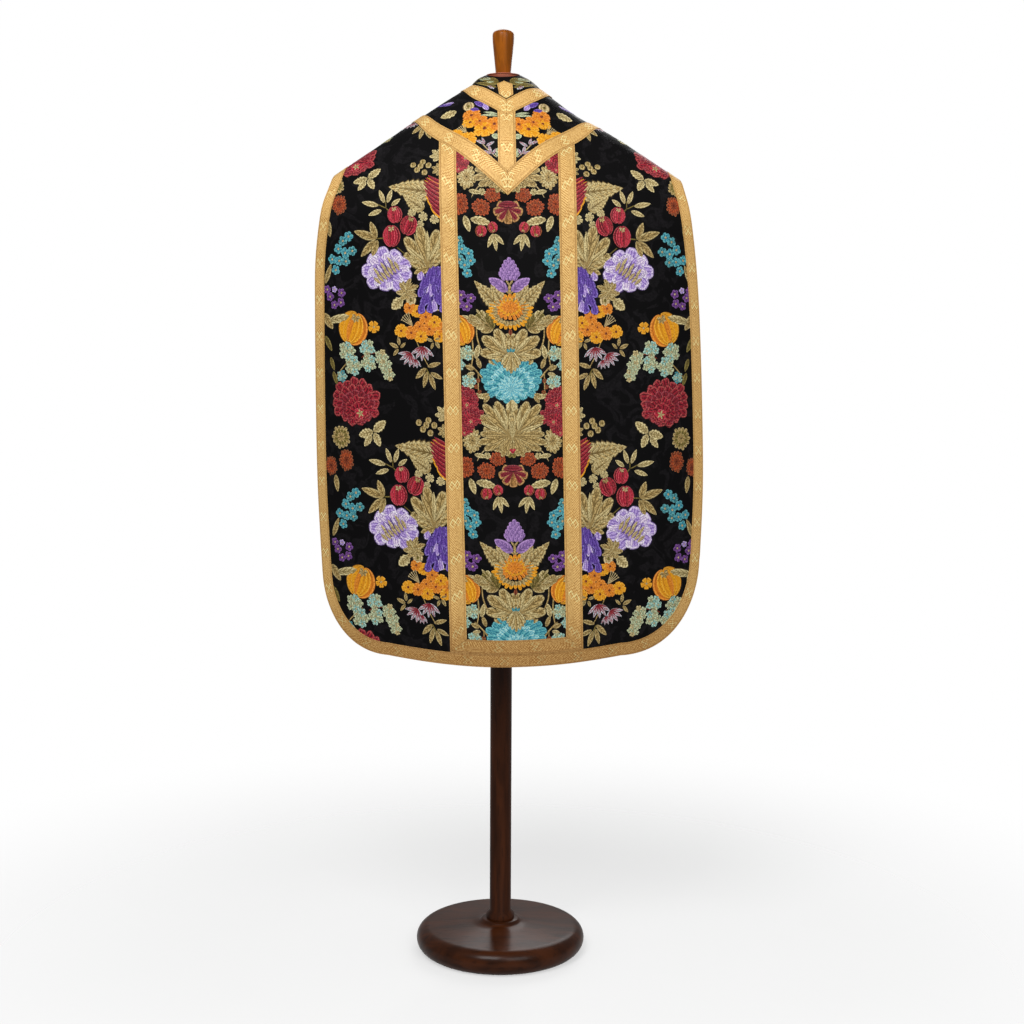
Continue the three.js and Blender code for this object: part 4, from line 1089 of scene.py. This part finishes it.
def yoke_room(side):
    neck = side.v_line(1, side.neck_v(0), np.linspace(0, NECK_REACH, NECK_STEPS))
    yoke = side.v_line(1, side.yoke_v(0), np.linspace(0, YOKE_REACH, SEAM_STEPS))

    def room(p, q):
        away = np.abs(p)
        low_q = np.maximum(np.interp(away, neck[:, 0], neck[:, 1], right=ABOVE) + GALLOON - UNDER_BRAID,
                           side.ridge_q(p) + RIDGE_BORDER)
        high_q = np.interp(away, yoke[:, 0], yoke[:, 1]) - GALLOON / 2 + UNDER_BRAID
        return 0, YOKE_REACH - YOKE_BORDER, low_q, high_q
    return room


def band_room(p, q):
    return 0, BAND["open_from"] * BAND_ROUND - BAND_SIDE, -BAND_HIGH + BAND_BORDER, -BAND_BORDER + 0 * q


# Finishes

def linear(code):
    """Linear colour from a hex code."""
    parts = [int(code[i:i + 2], 16) / 255 for i in (0, 2, 4)]
    return tuple(c / 12.92 if c <= 0.04045 else ((c + 0.055) / 1.055) ** 2.4 for c in parts)


class Signal:
    """A socket of a finish's nodes, with arithmetic that adds Math nodes."""

    def __init__(self, finish, socket):
        self.finish, self.socket = finish, socket

    def math(self, operation, *values):
        return self.finish.node("ShaderNodeMath", {"operation": operation}, dict(enumerate(values)))

    def __add__(self, other):
        return self.math("ADD", self, other)

    __radd__ = __add__

    def __sub__(self, other):
        return self.math("SUBTRACT", self, other)

    def __rsub__(self, other):
        return self.math("SUBTRACT", other, self)

    def __mul__(self, other):
        return self.math("MULTIPLY", self, other)

    __rmul__ = __mul__

    def __truediv__(self, other):
        return self.math("DIVIDE", self, other)

    def __abs__(self):
        return self.math("ABSOLUTE", self)

    def __or__(self, other):
        return self.math("MAXIMUM", self, other)

    def wave(self):
        """Triangle wave of period 1: 0 in the middle of a period, 1 at its ends."""
        return abs(self.math("FRACT", self) - 0.5) * 2

    def step(self, low, high):
        """Rises smoothly from 0 at low to 1 at high."""
        return self.finish.node("ShaderNodeMapRange", {"interpolation_type": "SMOOTHSTEP"},
                                {"Value": self, "From Min": low, "From Max": high})


class Finish:
    """A material built of nodes around one Principled shader."""

    def __init__(self, name, **constants):
        self.material = bpy.data.materials.new(name)
        self.material.use_nodes = True
        self.tree = self.material.node_tree
        self.shader = self.tree.nodes["Principled BSDF"]
        self.set(**constants)

    def node(self, kind, settings=None, sockets=None, out=0):
        made = self.tree.nodes.new(kind)
        for key, value in (settings or {}).items():
            setattr(made, key, value)
        for key, value in (sockets or {}).items():
            self.feed(made.inputs[key], value)
        return Signal(self, made.outputs[out])

    def feed(self, socket, value):
        if isinstance(value, Signal):
            self.tree.links.new(value.socket, socket)
        else:
            socket.default_value = value

    def set(self, **sockets):
        for key, value in sockets.items():
            self.feed(self.shader.inputs[key.replace("_", " ")], value)
        return self.material

    def mark(self, name, out="Vector"):
        return self.node("ShaderNodeAttribute", {"attribute_name": name}, out=out)

    def split(self, vector):
        parts = self.node("ShaderNodeSeparateXYZ", sockets={0: vector})
        outputs = parts.socket.node.outputs
        return [Signal(self, outputs[i]) for i in range(3)]

    def blend(self, factor, first, second, mode="MIX"):
        first, second = (c if isinstance(c, Signal) else (*c, 1.0) for c in (first, second))
        return self.node("ShaderNodeMix", {"data_type": "RGBA", "blend_type": mode},
                         {0: factor, 6: first, 7: second}, out=2)

    def noise(self, vector, scale, detail=2.0, distortion=0.0):
        return self.node("ShaderNodeTexNoise", {}, {
            "Vector": vector, "Scale": scale, "Detail": detail, "Distortion": distortion})

    def scaled(self, vector, scale):
        return self.node("ShaderNodeVectorMath", {"operation": "MULTIPLY"}, {0: vector, 1: scale})

    def bump(self, height, strength, distance=0.0004):
        return self.node("ShaderNodeBump", {}, {
            "Strength": strength, "Distance": distance, "Height": height})

    def place(self):
        """Place on the object, in metres."""
        return self.node("ShaderNodeTexCoord", out="Object")


def brocade_ground(ground, figured):
    f = Finish("black damask ground", Specular_IOR_Level=0.06)
    flat = f.mark("flat")
    p, q, _ = f.split(flat)
    leaves = f.noise(flat, 0.028, 2.5, 1.6).step(0.5, 0.57)
    veins = f.noise(flat, 0.11, 1.0, 2.2).step(0.42, 0.6)
    figure = leaves * (0.45 + veins * 0.55)
    twill = (p * 0.9 + q * 0.9).wave()
    colour = f.blend(figure, ground, figured)
    return f.set(Base_Color=f.blend(twill * 0.35, colour, [c * 0.4 for c in ground]),
                 Roughness=0.6 - figure * 0.2, Normal=f.bump(twill * 0.5 + figure * 0.6, 0.25))


def satin_lining(colour):
    f = Finish("satin lining", Specular_IOR_Level=0.4)
    flat = f.mark("flat")
    slub = f.noise(f.scaled(flat, (0.02, 0.6, 1.0)), 1.0, 2.0)
    return f.set(Base_Color=f.blend(slub.step(0.35, 0.7), [c * 0.7 for c in colour], colour),
                 Roughness=0.36 + slub * 0.12, Normal=f.bump(slub, 0.1))


def woven_threads():
    """Coloured weft of the flowers: ribs along each petal, a lighter rim and a dark gap round it."""
    f = Finish("flower threads", Specular_IOR_Level=0.2)
    along, side, ribs = f.split(f.mark("petal"))
    flat = f.mark("flat")
    p, q, tip = f.split(flat)
    light, deep, edge = f.mark("light", "Color"), f.mark("deep", "Color"), f.mark("edge", "Color")
    waver = f.noise(flat, 0.16, 1.0)
    strands = (side * ribs * 0.5 + ribs * 0.5 + waver * 0.5).wave().step(0.42, 0.82)
    side_veins = (along * ribs * -1 - abs(side) * 1.4 + waver * 0.6).wave().step(0.4, 0.8)
    veins = side_veins | (1 - abs(side).step(0.02, 0.2))
    leafy = ribs.math("LESS_THAN", ribs, 0.0)
    rib = (strands * (1 - leafy) + veins * leafy) * along.step(0.02, 0.2)
    border = abs(side) | tip
    rim = border.step(0.5, 0.66) * (1 - border.step(0.78, 0.88))
    gap = border.step(0.8, 0.95)
    root = 1 - along.step(0.0, 0.5)
    cloudy = f.noise(f.scaled(flat, (0.55, 0.36, 0.0)), 1.0, 2.0)
    grain, speck = cloudy.step(0.4, 0.58), cloudy.step(0.58, 0.7)
    pick = (q * 0.5 + p * 0.12).wave().step(0.3, 0.85)
    shade = (rib * 0.92) | (root * 0.7) | (grain * 0.75) | (pick * 0.4)
    colour = f.blend(shade, light, deep)
    colour = f.blend(rim * (0.7 - grain * 0.5), colour, edge)
    dark = f.blend(1.0, deep, (0.1, 0.09, 0.1), "MULTIPLY")
    colour = f.blend((gap * 0.96) | (rib * root * 0.6) | (speck * 0.75), colour, dark)
    return f.set(Base_Color=colour, Roughness=0.52 - grain * 0.1,
                 Normal=f.bump((1 - rib) * 0.6 + rim * 0.5 - gap, 0.6))


def gold_braid(pale, middle, deep):
    """Figured galloon: cords at its borders, a field of fine lattice, and bright chevrons in it.
    Painted shade darkens it towards the hem."""
    f = Finish("figured gold galloon", Metallic=0.1, Specular_IOR_Level=0.35)
    flat = f.mark("flat")
    run, side, width = f.split(flat)
    away = abs(side)
    across = side * width * 0.5
    period = 62.0  # millimetres from one lozenge to the next
    lattice = ((run + across) / 5.2).wave().step(0.5, 0.9) | ((run - across) / 5.2).wave().step(0.5, 0.9)
    twill = ((run + abs(across) * 1.5) / 4.4).wave().step(0.4, 0.85)
    lozenge = 1 - ((run / period + 0.5).wave() * 1.5 + away * 0.9).step(0.75, 0.9)
    pattern = twill + (lattice - twill) * lozenge
    bend = abs(abs(across) - 4.5) * 1.7
    upper, lower = ((run - bend) / period).wave(), ((run + bend - 14) / period).wave()
    strokes = upper.step(0.93, 0.98) | lower.step(0.96, 0.99)
    glint = strokes * (1 - away.step(0.6, 0.7))
    field = 1 - away.step(0.7, 0.78)
    cord = ((run + across * 2.2) / 2.8).wave().step(0.25, 0.8)
    groove = 1 - abs(away - 0.8).step(0.02, 0.07)
    mottle = f.noise(f.scaled(flat, (0.3, 4.0, 0.0)), 1.0, 3.0).step(0.35, 0.7)
    line = pattern * field + cord * (1 - field)
    colour = f.blend((line * 0.9) | (mottle * 0.5), pale, middle)
    colour = f.blend((groove * 0.55) | (line * mottle * 0.75), colour, deep)
    colour = f.blend(glint * (0.9 - line * 0.3), colour, [min(c * 1.3 + 0.12, 1) for c in pale])
    # Painted shade: below 0.66 m the braid is mixed towards the deep gold, fully at 0.555 m by the hem
    _, _, height = f.split(f.place())
    hem_shade = (1 - height.step(0.555, 0.66)) * (0.38 + (line | mottle) * 0.4)
    return f.set(Base_Color=f.blend(hem_shade, colour, deep), Roughness=0.45 + line * 0.15,
                 Normal=f.bump(1 - line * 0.8 - groove * 0.5, 0.7))


def form_linen(colour):
    f = Finish("ecru linen", Specular_IOR_Level=0.2, Roughness=0.92)
    spot = f.place()
    x, y, z = f.split(spot)
    weave = (z * 700).wave() * ((x + y) * 700).wave()
    slub = f.noise(f.scaled(spot, (60.0, 60.0, 900.0)), 1.0, 2.0)
    u, _, _ = f.split(f.mark("flat"))
    seam = 1 - abs(abs(u) - 0.45).step(0.002, 0.007)
    cover = f.blend(slub.step(0.3, 0.75), [c * 0.82 for c in colour], colour)
    return f.set(Base_Color=f.blend(seam * 0.5, cover, [c * 0.5 for c in colour]),
                 Normal=f.bump(weave + slub - seam * 2, 0.4))


def turned_wood(name, light, gloss, streak):
    f = Finish(name, Specular_IOR_Level=0.12, Coat_Roughness=0.14)
    spot = f.place()
    grain = f.noise(f.scaled(spot, streak), 1.0, 3.0, 0.8)
    pores = f.noise(f.scaled(spot, [s * 5 for s in streak]), 1.0, 2.0).step(0.55, 0.7)
    worn = f.noise(spot, 9.0, 2.0)
    dark = [c * 0.42 for c in light]
    colour = f.blend(grain.step(0.32, 0.68), dark, light)
    return f.set(Base_Color=f.blend(pores * 0.45, colour, [c * 0.45 for c in dark]),
                 Roughness=gloss + worn * 0.12, Coat_Weight=0.08, Normal=f.bump(pores, 0.15))


def studio_paper(reach):
    """Pale floor that fades into the white room."""
    f = Finish("pale studio floor", Specular_IOR_Level=0.1, Roughness=0.9)
    spot = f.place()
    x, y, _ = f.split(spot)
    away = x.math("SQRT", x * x + y * y)
    return f.set(Base_Color=f.blend(f.noise(spot, 3.0), (0.86, 0.86, 0.86), (0.9, 0.9, 0.9)),
                 Alpha=(1 - away.step(reach * 0.3, reach)) * 0.45)


# Sizes and colours

def colour(name, description, code):
    return bpy.props.FloatVectorProperty(name=name, description=description, subtype="COLOR", size=3,
                                         min=0.0, max=1.0, default=linear(code))


def number(name, description, value, least, most, subtype="NONE", unit="NONE"):
    return bpy.props.FloatProperty(name=name, description=description, subtype=subtype, unit=unit,
                                   default=value, min=least, max=most)


def length(name, description, value, least, most):
    return number(name, description, value, least, most, "DISTANCE", "LENGTH")


# Thread: label, use, light and deep colour, and that of its edge if it isn't a paler light one
THREADS = {
    "crimson": ("Crimson", "Cabbage roses and flame flowers", "b62a3a", "3e0410", "cf6660"),
    "tulip": ("Ribbed red", "Ribbed fruit, berries and hearts of the roses", "d2374a", "820f23", "e6787e"),
    "maroon": ("Maroon", "Shell flowers", "962a32", "5a0f1e", "be5a64"),
    "rim_gold": ("Rim gold", "Edges of the shell flowers", "be8c50", "6e4a22"),
    "rust": ("Rust", "Small mums and berries", "a04a24", "501a14", "c88250"),
    "flame": ("Orange red", "Small mums of the column and the sides", "c65a24", "641a10"),
    "orange": ("Orange", "Blossoms, sunflowers and ribbed fruit", "eb9128", "c06a1a"),
    "amber": ("Amber", "Second shade of the sunflowers and blossoms", "f0aa1e", "d08416"),
    "lilac": ("Lilac", "Peonies of the sides", "d4bcee", "7658aa", "fcf0fa"),
    "pale_lilac": ("Pale lilac", "Second shade of those peonies", "fff0f8", "9c86bc"),
    "deep_lilac": ("Deep lilac", "Hearts of those peonies", "ae8ec2", "3c2878", "b4a0e6"),
    "bud_lilac": ("Lilac bud", "Buds of the column", "b48cc6", "6e508c"),
    "violet": ("Violet", "Wavy flowers beside the column braids", "7a5ab4", "3c2378", "aa96e6"),
    "purple": ("Purple", "Small florets", "824fa0", "4b285a"),
    "turquoise": ("Turquoise", "Peonies of the column and florets", "68b8b6", "146e8c"),
    "sky": ("Light turquoise", "Second shade of those peonies", "b4dccf", "3ca0b9"),
    "teal": ("Teal", "Small florets", "66b0b2", "145f6e"),
    "sage": ("Sage", "Balls of small flowers", "dadcb2", "6c7e5e"),
    "mist": ("Sea green", "Second shade of those balls", "bedecd", "588a80"),
    "gold": ("Leaf gold", "Leaves and pale mums", "d6b878", "6a5428", "dccd96"),
    "pale_gold": ("Pale gold", "Sprigs and light lobes of the leaves", "e8d49c", "826e3c"),
    "olive": ("Olive", "Stems and dark leaves", "8c7d3c", "504119", "b9aa64"),
    "cream": ("Cream", "Stamens, hearts and crowns", "d7c391", "8c7346"),
    "lily": ("Lily white", "Small lilies", "bed7dc", "961432"),
}


class FlowerColours(bpy.types.PropertyGroup):
    """Threads of the woven flowers."""
    __annotations__ = {ink: colour(label, use, light)
                       for ink, (label, use, light, *_) in THREADS.items()}


class ClothColours(bpy.types.PropertyGroup):
    """Ground, lining and braids."""
    ground: colour("Ground", "Black satin of the brocade", "0b0a0b")
    figure: colour("Damask figure", "Tone-on-tone leaves of the ground", "1b191b")
    lining: colour("Lining", "Satin on the inner side", "0d0c0d")
    braid_pale: colour("Pale gold", "Light threads of the galloons", "f4ca80")
    braid: colour("Gold", "Middle threads of the galloons", "cc9648")
    # Deep gold also gives the painted shade of the galloons towards the hem
    braid_deep: colour("Deep gold", "Grooves of the galloons", "8a5820")


class FormColours(bpy.types.PropertyGroup):
    """Linen and woods of the dress form."""
    linen: colour("Linen", "Cover of the torso", "e0d5bf")
    honey: colour("Honey wood", "Finial", "b0600e")
    red: colour("Red wood", "Neck cap", "c06a50")
    dark: colour("Dark wood", "Stand", "43200c")


class StudioSizes(bpy.types.PropertyGroup):
    """Camera, lights and floor."""
    camera_back: length("Camera distance", "From the stand's axis", 2.9, 1.0, 10.0)
    camera_high: length("Camera height", "Above the floor", 1.1072, 0.2, 3.0)
    camera_aside: length("Camera aside", "To the right of the axis", 0.018, -1.0, 1.0)
    lens: number("Lens", "Focal length", 58.59, 20, 200, "DISTANCE_CAMERA")
    tilt: number("Tilt", "Downward tilt of the camera", math.radians(6.27), -1, 1, "ANGLE")
    roll: number("Roll", "Roll of the camera", math.radians(0.24), -1, 1, "ANGLE")
    floor: length("Floor", "Side of the floor", 3.0, 2.0, 50.0)
    key: number("Key light", "Strength of the main light", 72, 0, 1000, "POWER", "POWER")
    fill: number("Fill light", "Strength of the second light", 36, 0, 1000, "POWER", "POWER")
    surround: number("Surround", "Strength of the white room's light", 0.3, 0, 5)


# Operators

class BuildPanels(bpy.types.Operator):
    """Brocade panels of the back and the front, lined, with their woven flowers"""
    bl_idname = "chasuble.panels"
    bl_label = "Brocade panels"

    def execute(self, context):
        inks, threads, finishes = thread_inks(context.scene), woven_threads(), cloth_finishes(context.scene)
        for side in (BACK, FRONT):
            beds = [("yoke", yoke_grid(side), yoke_room(side), (-1, 1)),
                    ("column", column_grid(side), column_room(side), (-1, 1)),
                    ("side_left", side_grid(side, -1), side_room(side, -1), (-1,)),
                    ("side_right", side_grid(side, 1), side_room(side, 1), (1,))]
            for part, grid, room, hands in beds:
                loom = Loom(room)
                if part == "yoke":
                    weave_pattern(loom, inks, YOKE_PATTERN, repeats=(0,))
                    if side is FRONT:
                        weave_pattern(loom, inks, COLUMN_PATTERN, repeats=(-1,))
                elif part == "column":
                    weave_pattern(loom, inks, COLUMN_PATTERN)
                    weave_pattern(loom, inks, CENTRE_PATTERN, hands=(-1,))
                else:
                    weave_pattern(loom, inks, SIDE_PATTERN, hands, slip=RIGHT_SLIP)
                flowers = loom.finish(f"{side.name}_{part}_flowers", side, threads)
                panel(side, grid, part, finishes)
        return {"FINISHED"}


class BuildGalloons(bpy.types.Operator):
    """Gold galloons over the seams and round the edges"""
    bl_idname = "chasuble.galloons"
    bl_label = "Gold galloons"

    def execute(self, context):
        gold = braid_finish(context.scene)
        for side in (BACK, FRONT):
            galloon(side, edge_braid(side), "edge_galloon", gold, EDGE_GALLOON)
            galloon(side, foot_braid(side), "foot_galloon", gold, FOOT_GALLOON)
            for hand, word in ((-1, "left"), (1, "right")):
                galloon(side, column_braid(side, hand), f"column_galloon_{word}", gold, GALLOON)
                across = v_braid(side, hand, side.yoke_v(0), GALLOON / 2, GALLOON / 2)
                galloon(side, across, f"yoke_galloon_{word}", gold, GALLOON)
                along = v_braid(side, hand, side.neck_v(0), 0, GALLOON)
                galloon(side, along, f"neck_galloon_{word}", gold, GALLOON)
        galloon(BACK, centre_braid(BACK), "centre_galloon", gold, GALLOON)
        return {"FINISHED"}


class BuildNeckBand(bpy.types.Operator):
    """Standing band at the neck and the pointed tab on it"""
    bl_idname = "chasuble.neck_band"
    bl_label = "Neck band"

    def execute(self, context):
        band, loom = NeckBand(), Loom(band_room)
        weave_pattern(loom, thread_inks(context.scene), BAND_PATTERN, repeats=(0,))
        flowers = loom.finish("neck_band_flowers", band, woven_threads())
        piece = lined_cloth("neck_band_cloth", band, band_grid(), cloth_finishes(context.scene), "neck_band")
        grid, wide = tab_grid(), 2 * TAB["half"]
        gold = braid_finish(context.scene)
        tab = flat_braid("neck_tab_braid", band, grid, -grid[..., 1], wide, gold, "neck_tab")
        return {"FINISHED"}


class BuildForm(bpy.types.Operator):
    """Linen torso without limbs, its neck cap and its finial"""
    bl_idname = "chasuble.dress_form"
    bl_label = "Dress form"

    def execute(self, context):
        colours = context.scene.form_colours
        points, u = torso_points()
        rows, columns = points.shape[:2]
        faces = faces_of(rows, columns, flip=True).tolist()
        for first in range(0, (rows - 1) * columns, columns):
            faces.append([first, first + columns, first + 2 * columns - 1, first + columns - 1])
        seams = np.stack([u[:, None] + 0 * points[..., 0], points[..., 2], 0 * points[..., 0]], -1)
        torso = make_mesh("form_torso_linen", points.reshape(-1, 3), faces, [form_linen(colours.linen)],
                          [("flat", seams.reshape(-1, 3))])
        weld(torso)
        settle(torso, "linen", "form_torso")
        seat = FORM["flat_top"] + SEAM
        cap = lathe("form_cap_wood", CAP, seat, turned_wood("red wood", colours.red, 0.42, (7.0, 7.0, 60.0)))
        settle(cap, "red_wood", "form_neck_cap")
        finial = lathe("form_finial_wood", FINIAL, seat + CAP[-1][1] + SEAM,
                       turned_wood("honey wood", colours.honey, 0.3, (55.0, 55.0, 6.0)))
        settle(finial, "honey_wood", "form_finial")
        return {"FINISHED"}


class BuildStand(bpy.types.Operator):
    """Turned pole and base"""
    bl_idname = "chasuble.stand"
    bl_label = "Stand"

    def execute(self, context):
        dark = context.scene.form_colours.dark
        base_wood = turned_wood("dark wood", dark, 0.24, (8.0, 30.0, 30.0))
        settle(lathe("stand_base_wood", base_rows(), 0.0, base_wood, 160), "dark_wood", "stand_base")
        foot = HUB[-1][1] + SEAM
        pole = lathe("stand_pole_wood", pole_rows(FORM["foot"] - SEAM - foot), foot,
                     turned_wood("dark pole wood", dark, 0.3, (45.0, 45.0, 5.0)))
        settle(pole, "dark_wood", "stand_pole")
        return {"FINISHED"}


class BuildStudio(bpy.types.Operator):
    """Pale floor, soft lights and the camera"""
    bl_idname = "chasuble.studio"
    bl_label = "Studio"

    def execute(self, context):
        sizes = context.scene.studio_sizes
        half = sizes.floor / MM / 2
        corners = [(-half, -half, 0), (half, -half, 0), (half, half, 0), (-half, half, 0)]
        make_mesh("studio_floor", corners, [(0, 1, 2, 3)], [studio_paper(sizes.floor / 2)])
        aim = Vector((0, 0, 1.1))
        lights = [("key_light", (-0.8, -2.3, 3.2), sizes.key, 1.5),  # name, place, power and side
                  ("fill_light", (1.3, -2.7, 2.7), sizes.fill, 1.8),
                  ("rear_light", (0.6, 2.8, 2.6), sizes.fill, 2.0)]
        for name, place, power, wide in lights:
            light = bpy.data.lights.new(name, "AREA")
            light.energy, light.size = power, wide
            lamp = bpy.data.objects.new(name, light)
            lamp.location = place
            lamp.rotation_euler = (aim - lamp.location).to_track_quat("-Z", "Y").to_euler()
            context.scene.collection.objects.link(lamp)
        world = bpy.data.worlds.new("studio_world")
        world.use_nodes = True
        nodes, links = world.node_tree.nodes, world.node_tree.links
        seen, lit = nodes.new("ShaderNodeBackground"), nodes["Background"]
        for background, strength in ((seen, 1.0), (lit, sizes.surround)):
            background.inputs["Color"].default_value = (1.0, 1.0, 1.0, 1.0)
            background.inputs["Strength"].default_value = strength
        choice, path = nodes.new("ShaderNodeMixShader"), nodes.new("ShaderNodeLightPath")
        links.new(path.outputs["Is Camera Ray"], choice.inputs[0])
        links.new(lit.outputs[0], choice.inputs[1])
        links.new(seen.outputs[0], choice.inputs[2])
        links.new(choice.outputs[0], nodes["World Output"].inputs["Surface"])
        context.scene.world = world
        context.scene.view_settings.view_transform = "Standard"
        lens = bpy.data.cameras.new("studio_camera")
        lens.lens, lens.sensor_width = sizes.lens, 36.0
        camera = bpy.data.objects.new("studio_camera", lens)
        place = Matrix.Translation((sizes.camera_aside, -sizes.camera_back, sizes.camera_high))
        level = Matrix.Rotation(math.pi / 2 - sizes.tilt, 4, "X")
        camera.matrix_world = place @ level @ Matrix.Rotation(sizes.roll, 4, "Z")
        context.scene.collection.objects.link(camera)
        context.scene.camera = camera
        return {"FINISHED"}


def thread_inks(scene):
    """Light, deep and edge colour of each thread."""
    inks = {}
    for ink, (_, _, _, deep, *edge) in THREADS.items():
        light = getattr(scene.flower_colours, ink)
        rim = linear(edge[0]) if edge else [min(c * 1.25 + 0.06, 1) for c in light]
        inks[ink] = [(*tone, 1.0) for tone in (light, linear(deep), rim)]
    return inks


def cloth_finishes(scene):
    cloth = scene.cloth_colours
    return [brocade_ground(cloth.ground, cloth.figure), satin_lining(cloth.lining)]


def braid_finish(scene):
    cloth = scene.cloth_colours
    return gold_braid(tuple(cloth.braid_pale), tuple(cloth.braid), tuple(cloth.braid_deep))


OPERATORS = (BuildPanels, BuildGalloons, BuildNeckBand, BuildForm, BuildStand, BuildStudio)
SETTINGS = {"flower_colours": FlowerColours, "cloth_colours": ClothColours, "form_colours": FormColours,
            "studio_sizes": StudioSizes}


class ChasublePanel(bpy.types.Panel):
    """Lists the operators with the settings that they use"""
    bl_idname = "VIEW3D_PT_chasuble"
    bl_label = "Chasuble"
    bl_space_type = "VIEW_3D"
    bl_region_type = "UI"
    bl_category = "Chasuble"

    def draw(self, context):
        for operator in OPERATORS:
            self.layout.operator(operator.bl_idname)
        for name, group in SETTINGS.items():
            box = self.layout.box()
            box.label(text=group.__doc__)
            for field in group.__annotations__:
                box.prop(getattr(context.scene, name), field)


def register():
    for group in SETTINGS.values():
        bpy.utils.register_class(group)
    for name, group in SETTINGS.items():
        setattr(bpy.types.Scene, name, bpy.props.PointerProperty(type=group))
    for operator in OPERATORS:
        bpy.utils.register_class(operator)
    bpy.utils.register_class(ChasublePanel)


def unregister():
    for operator in (ChasublePanel, *OPERATORS[::-1]):
        bpy.utils.unregister_class(operator)
    for name, group in SETTINGS.items():
        delattr(bpy.types.Scene, name)
        bpy.utils.unregister_class(group)


def main():
    register()
    bpy.ops.chasuble.panels()
    bpy.ops.chasuble.galloons()
    bpy.ops.chasuble.neck_band()
    bpy.ops.chasuble.dress_form()
    bpy.ops.chasuble.stand()
    bpy.ops.chasuble.studio()


if __name__ == "__main__":
    main()
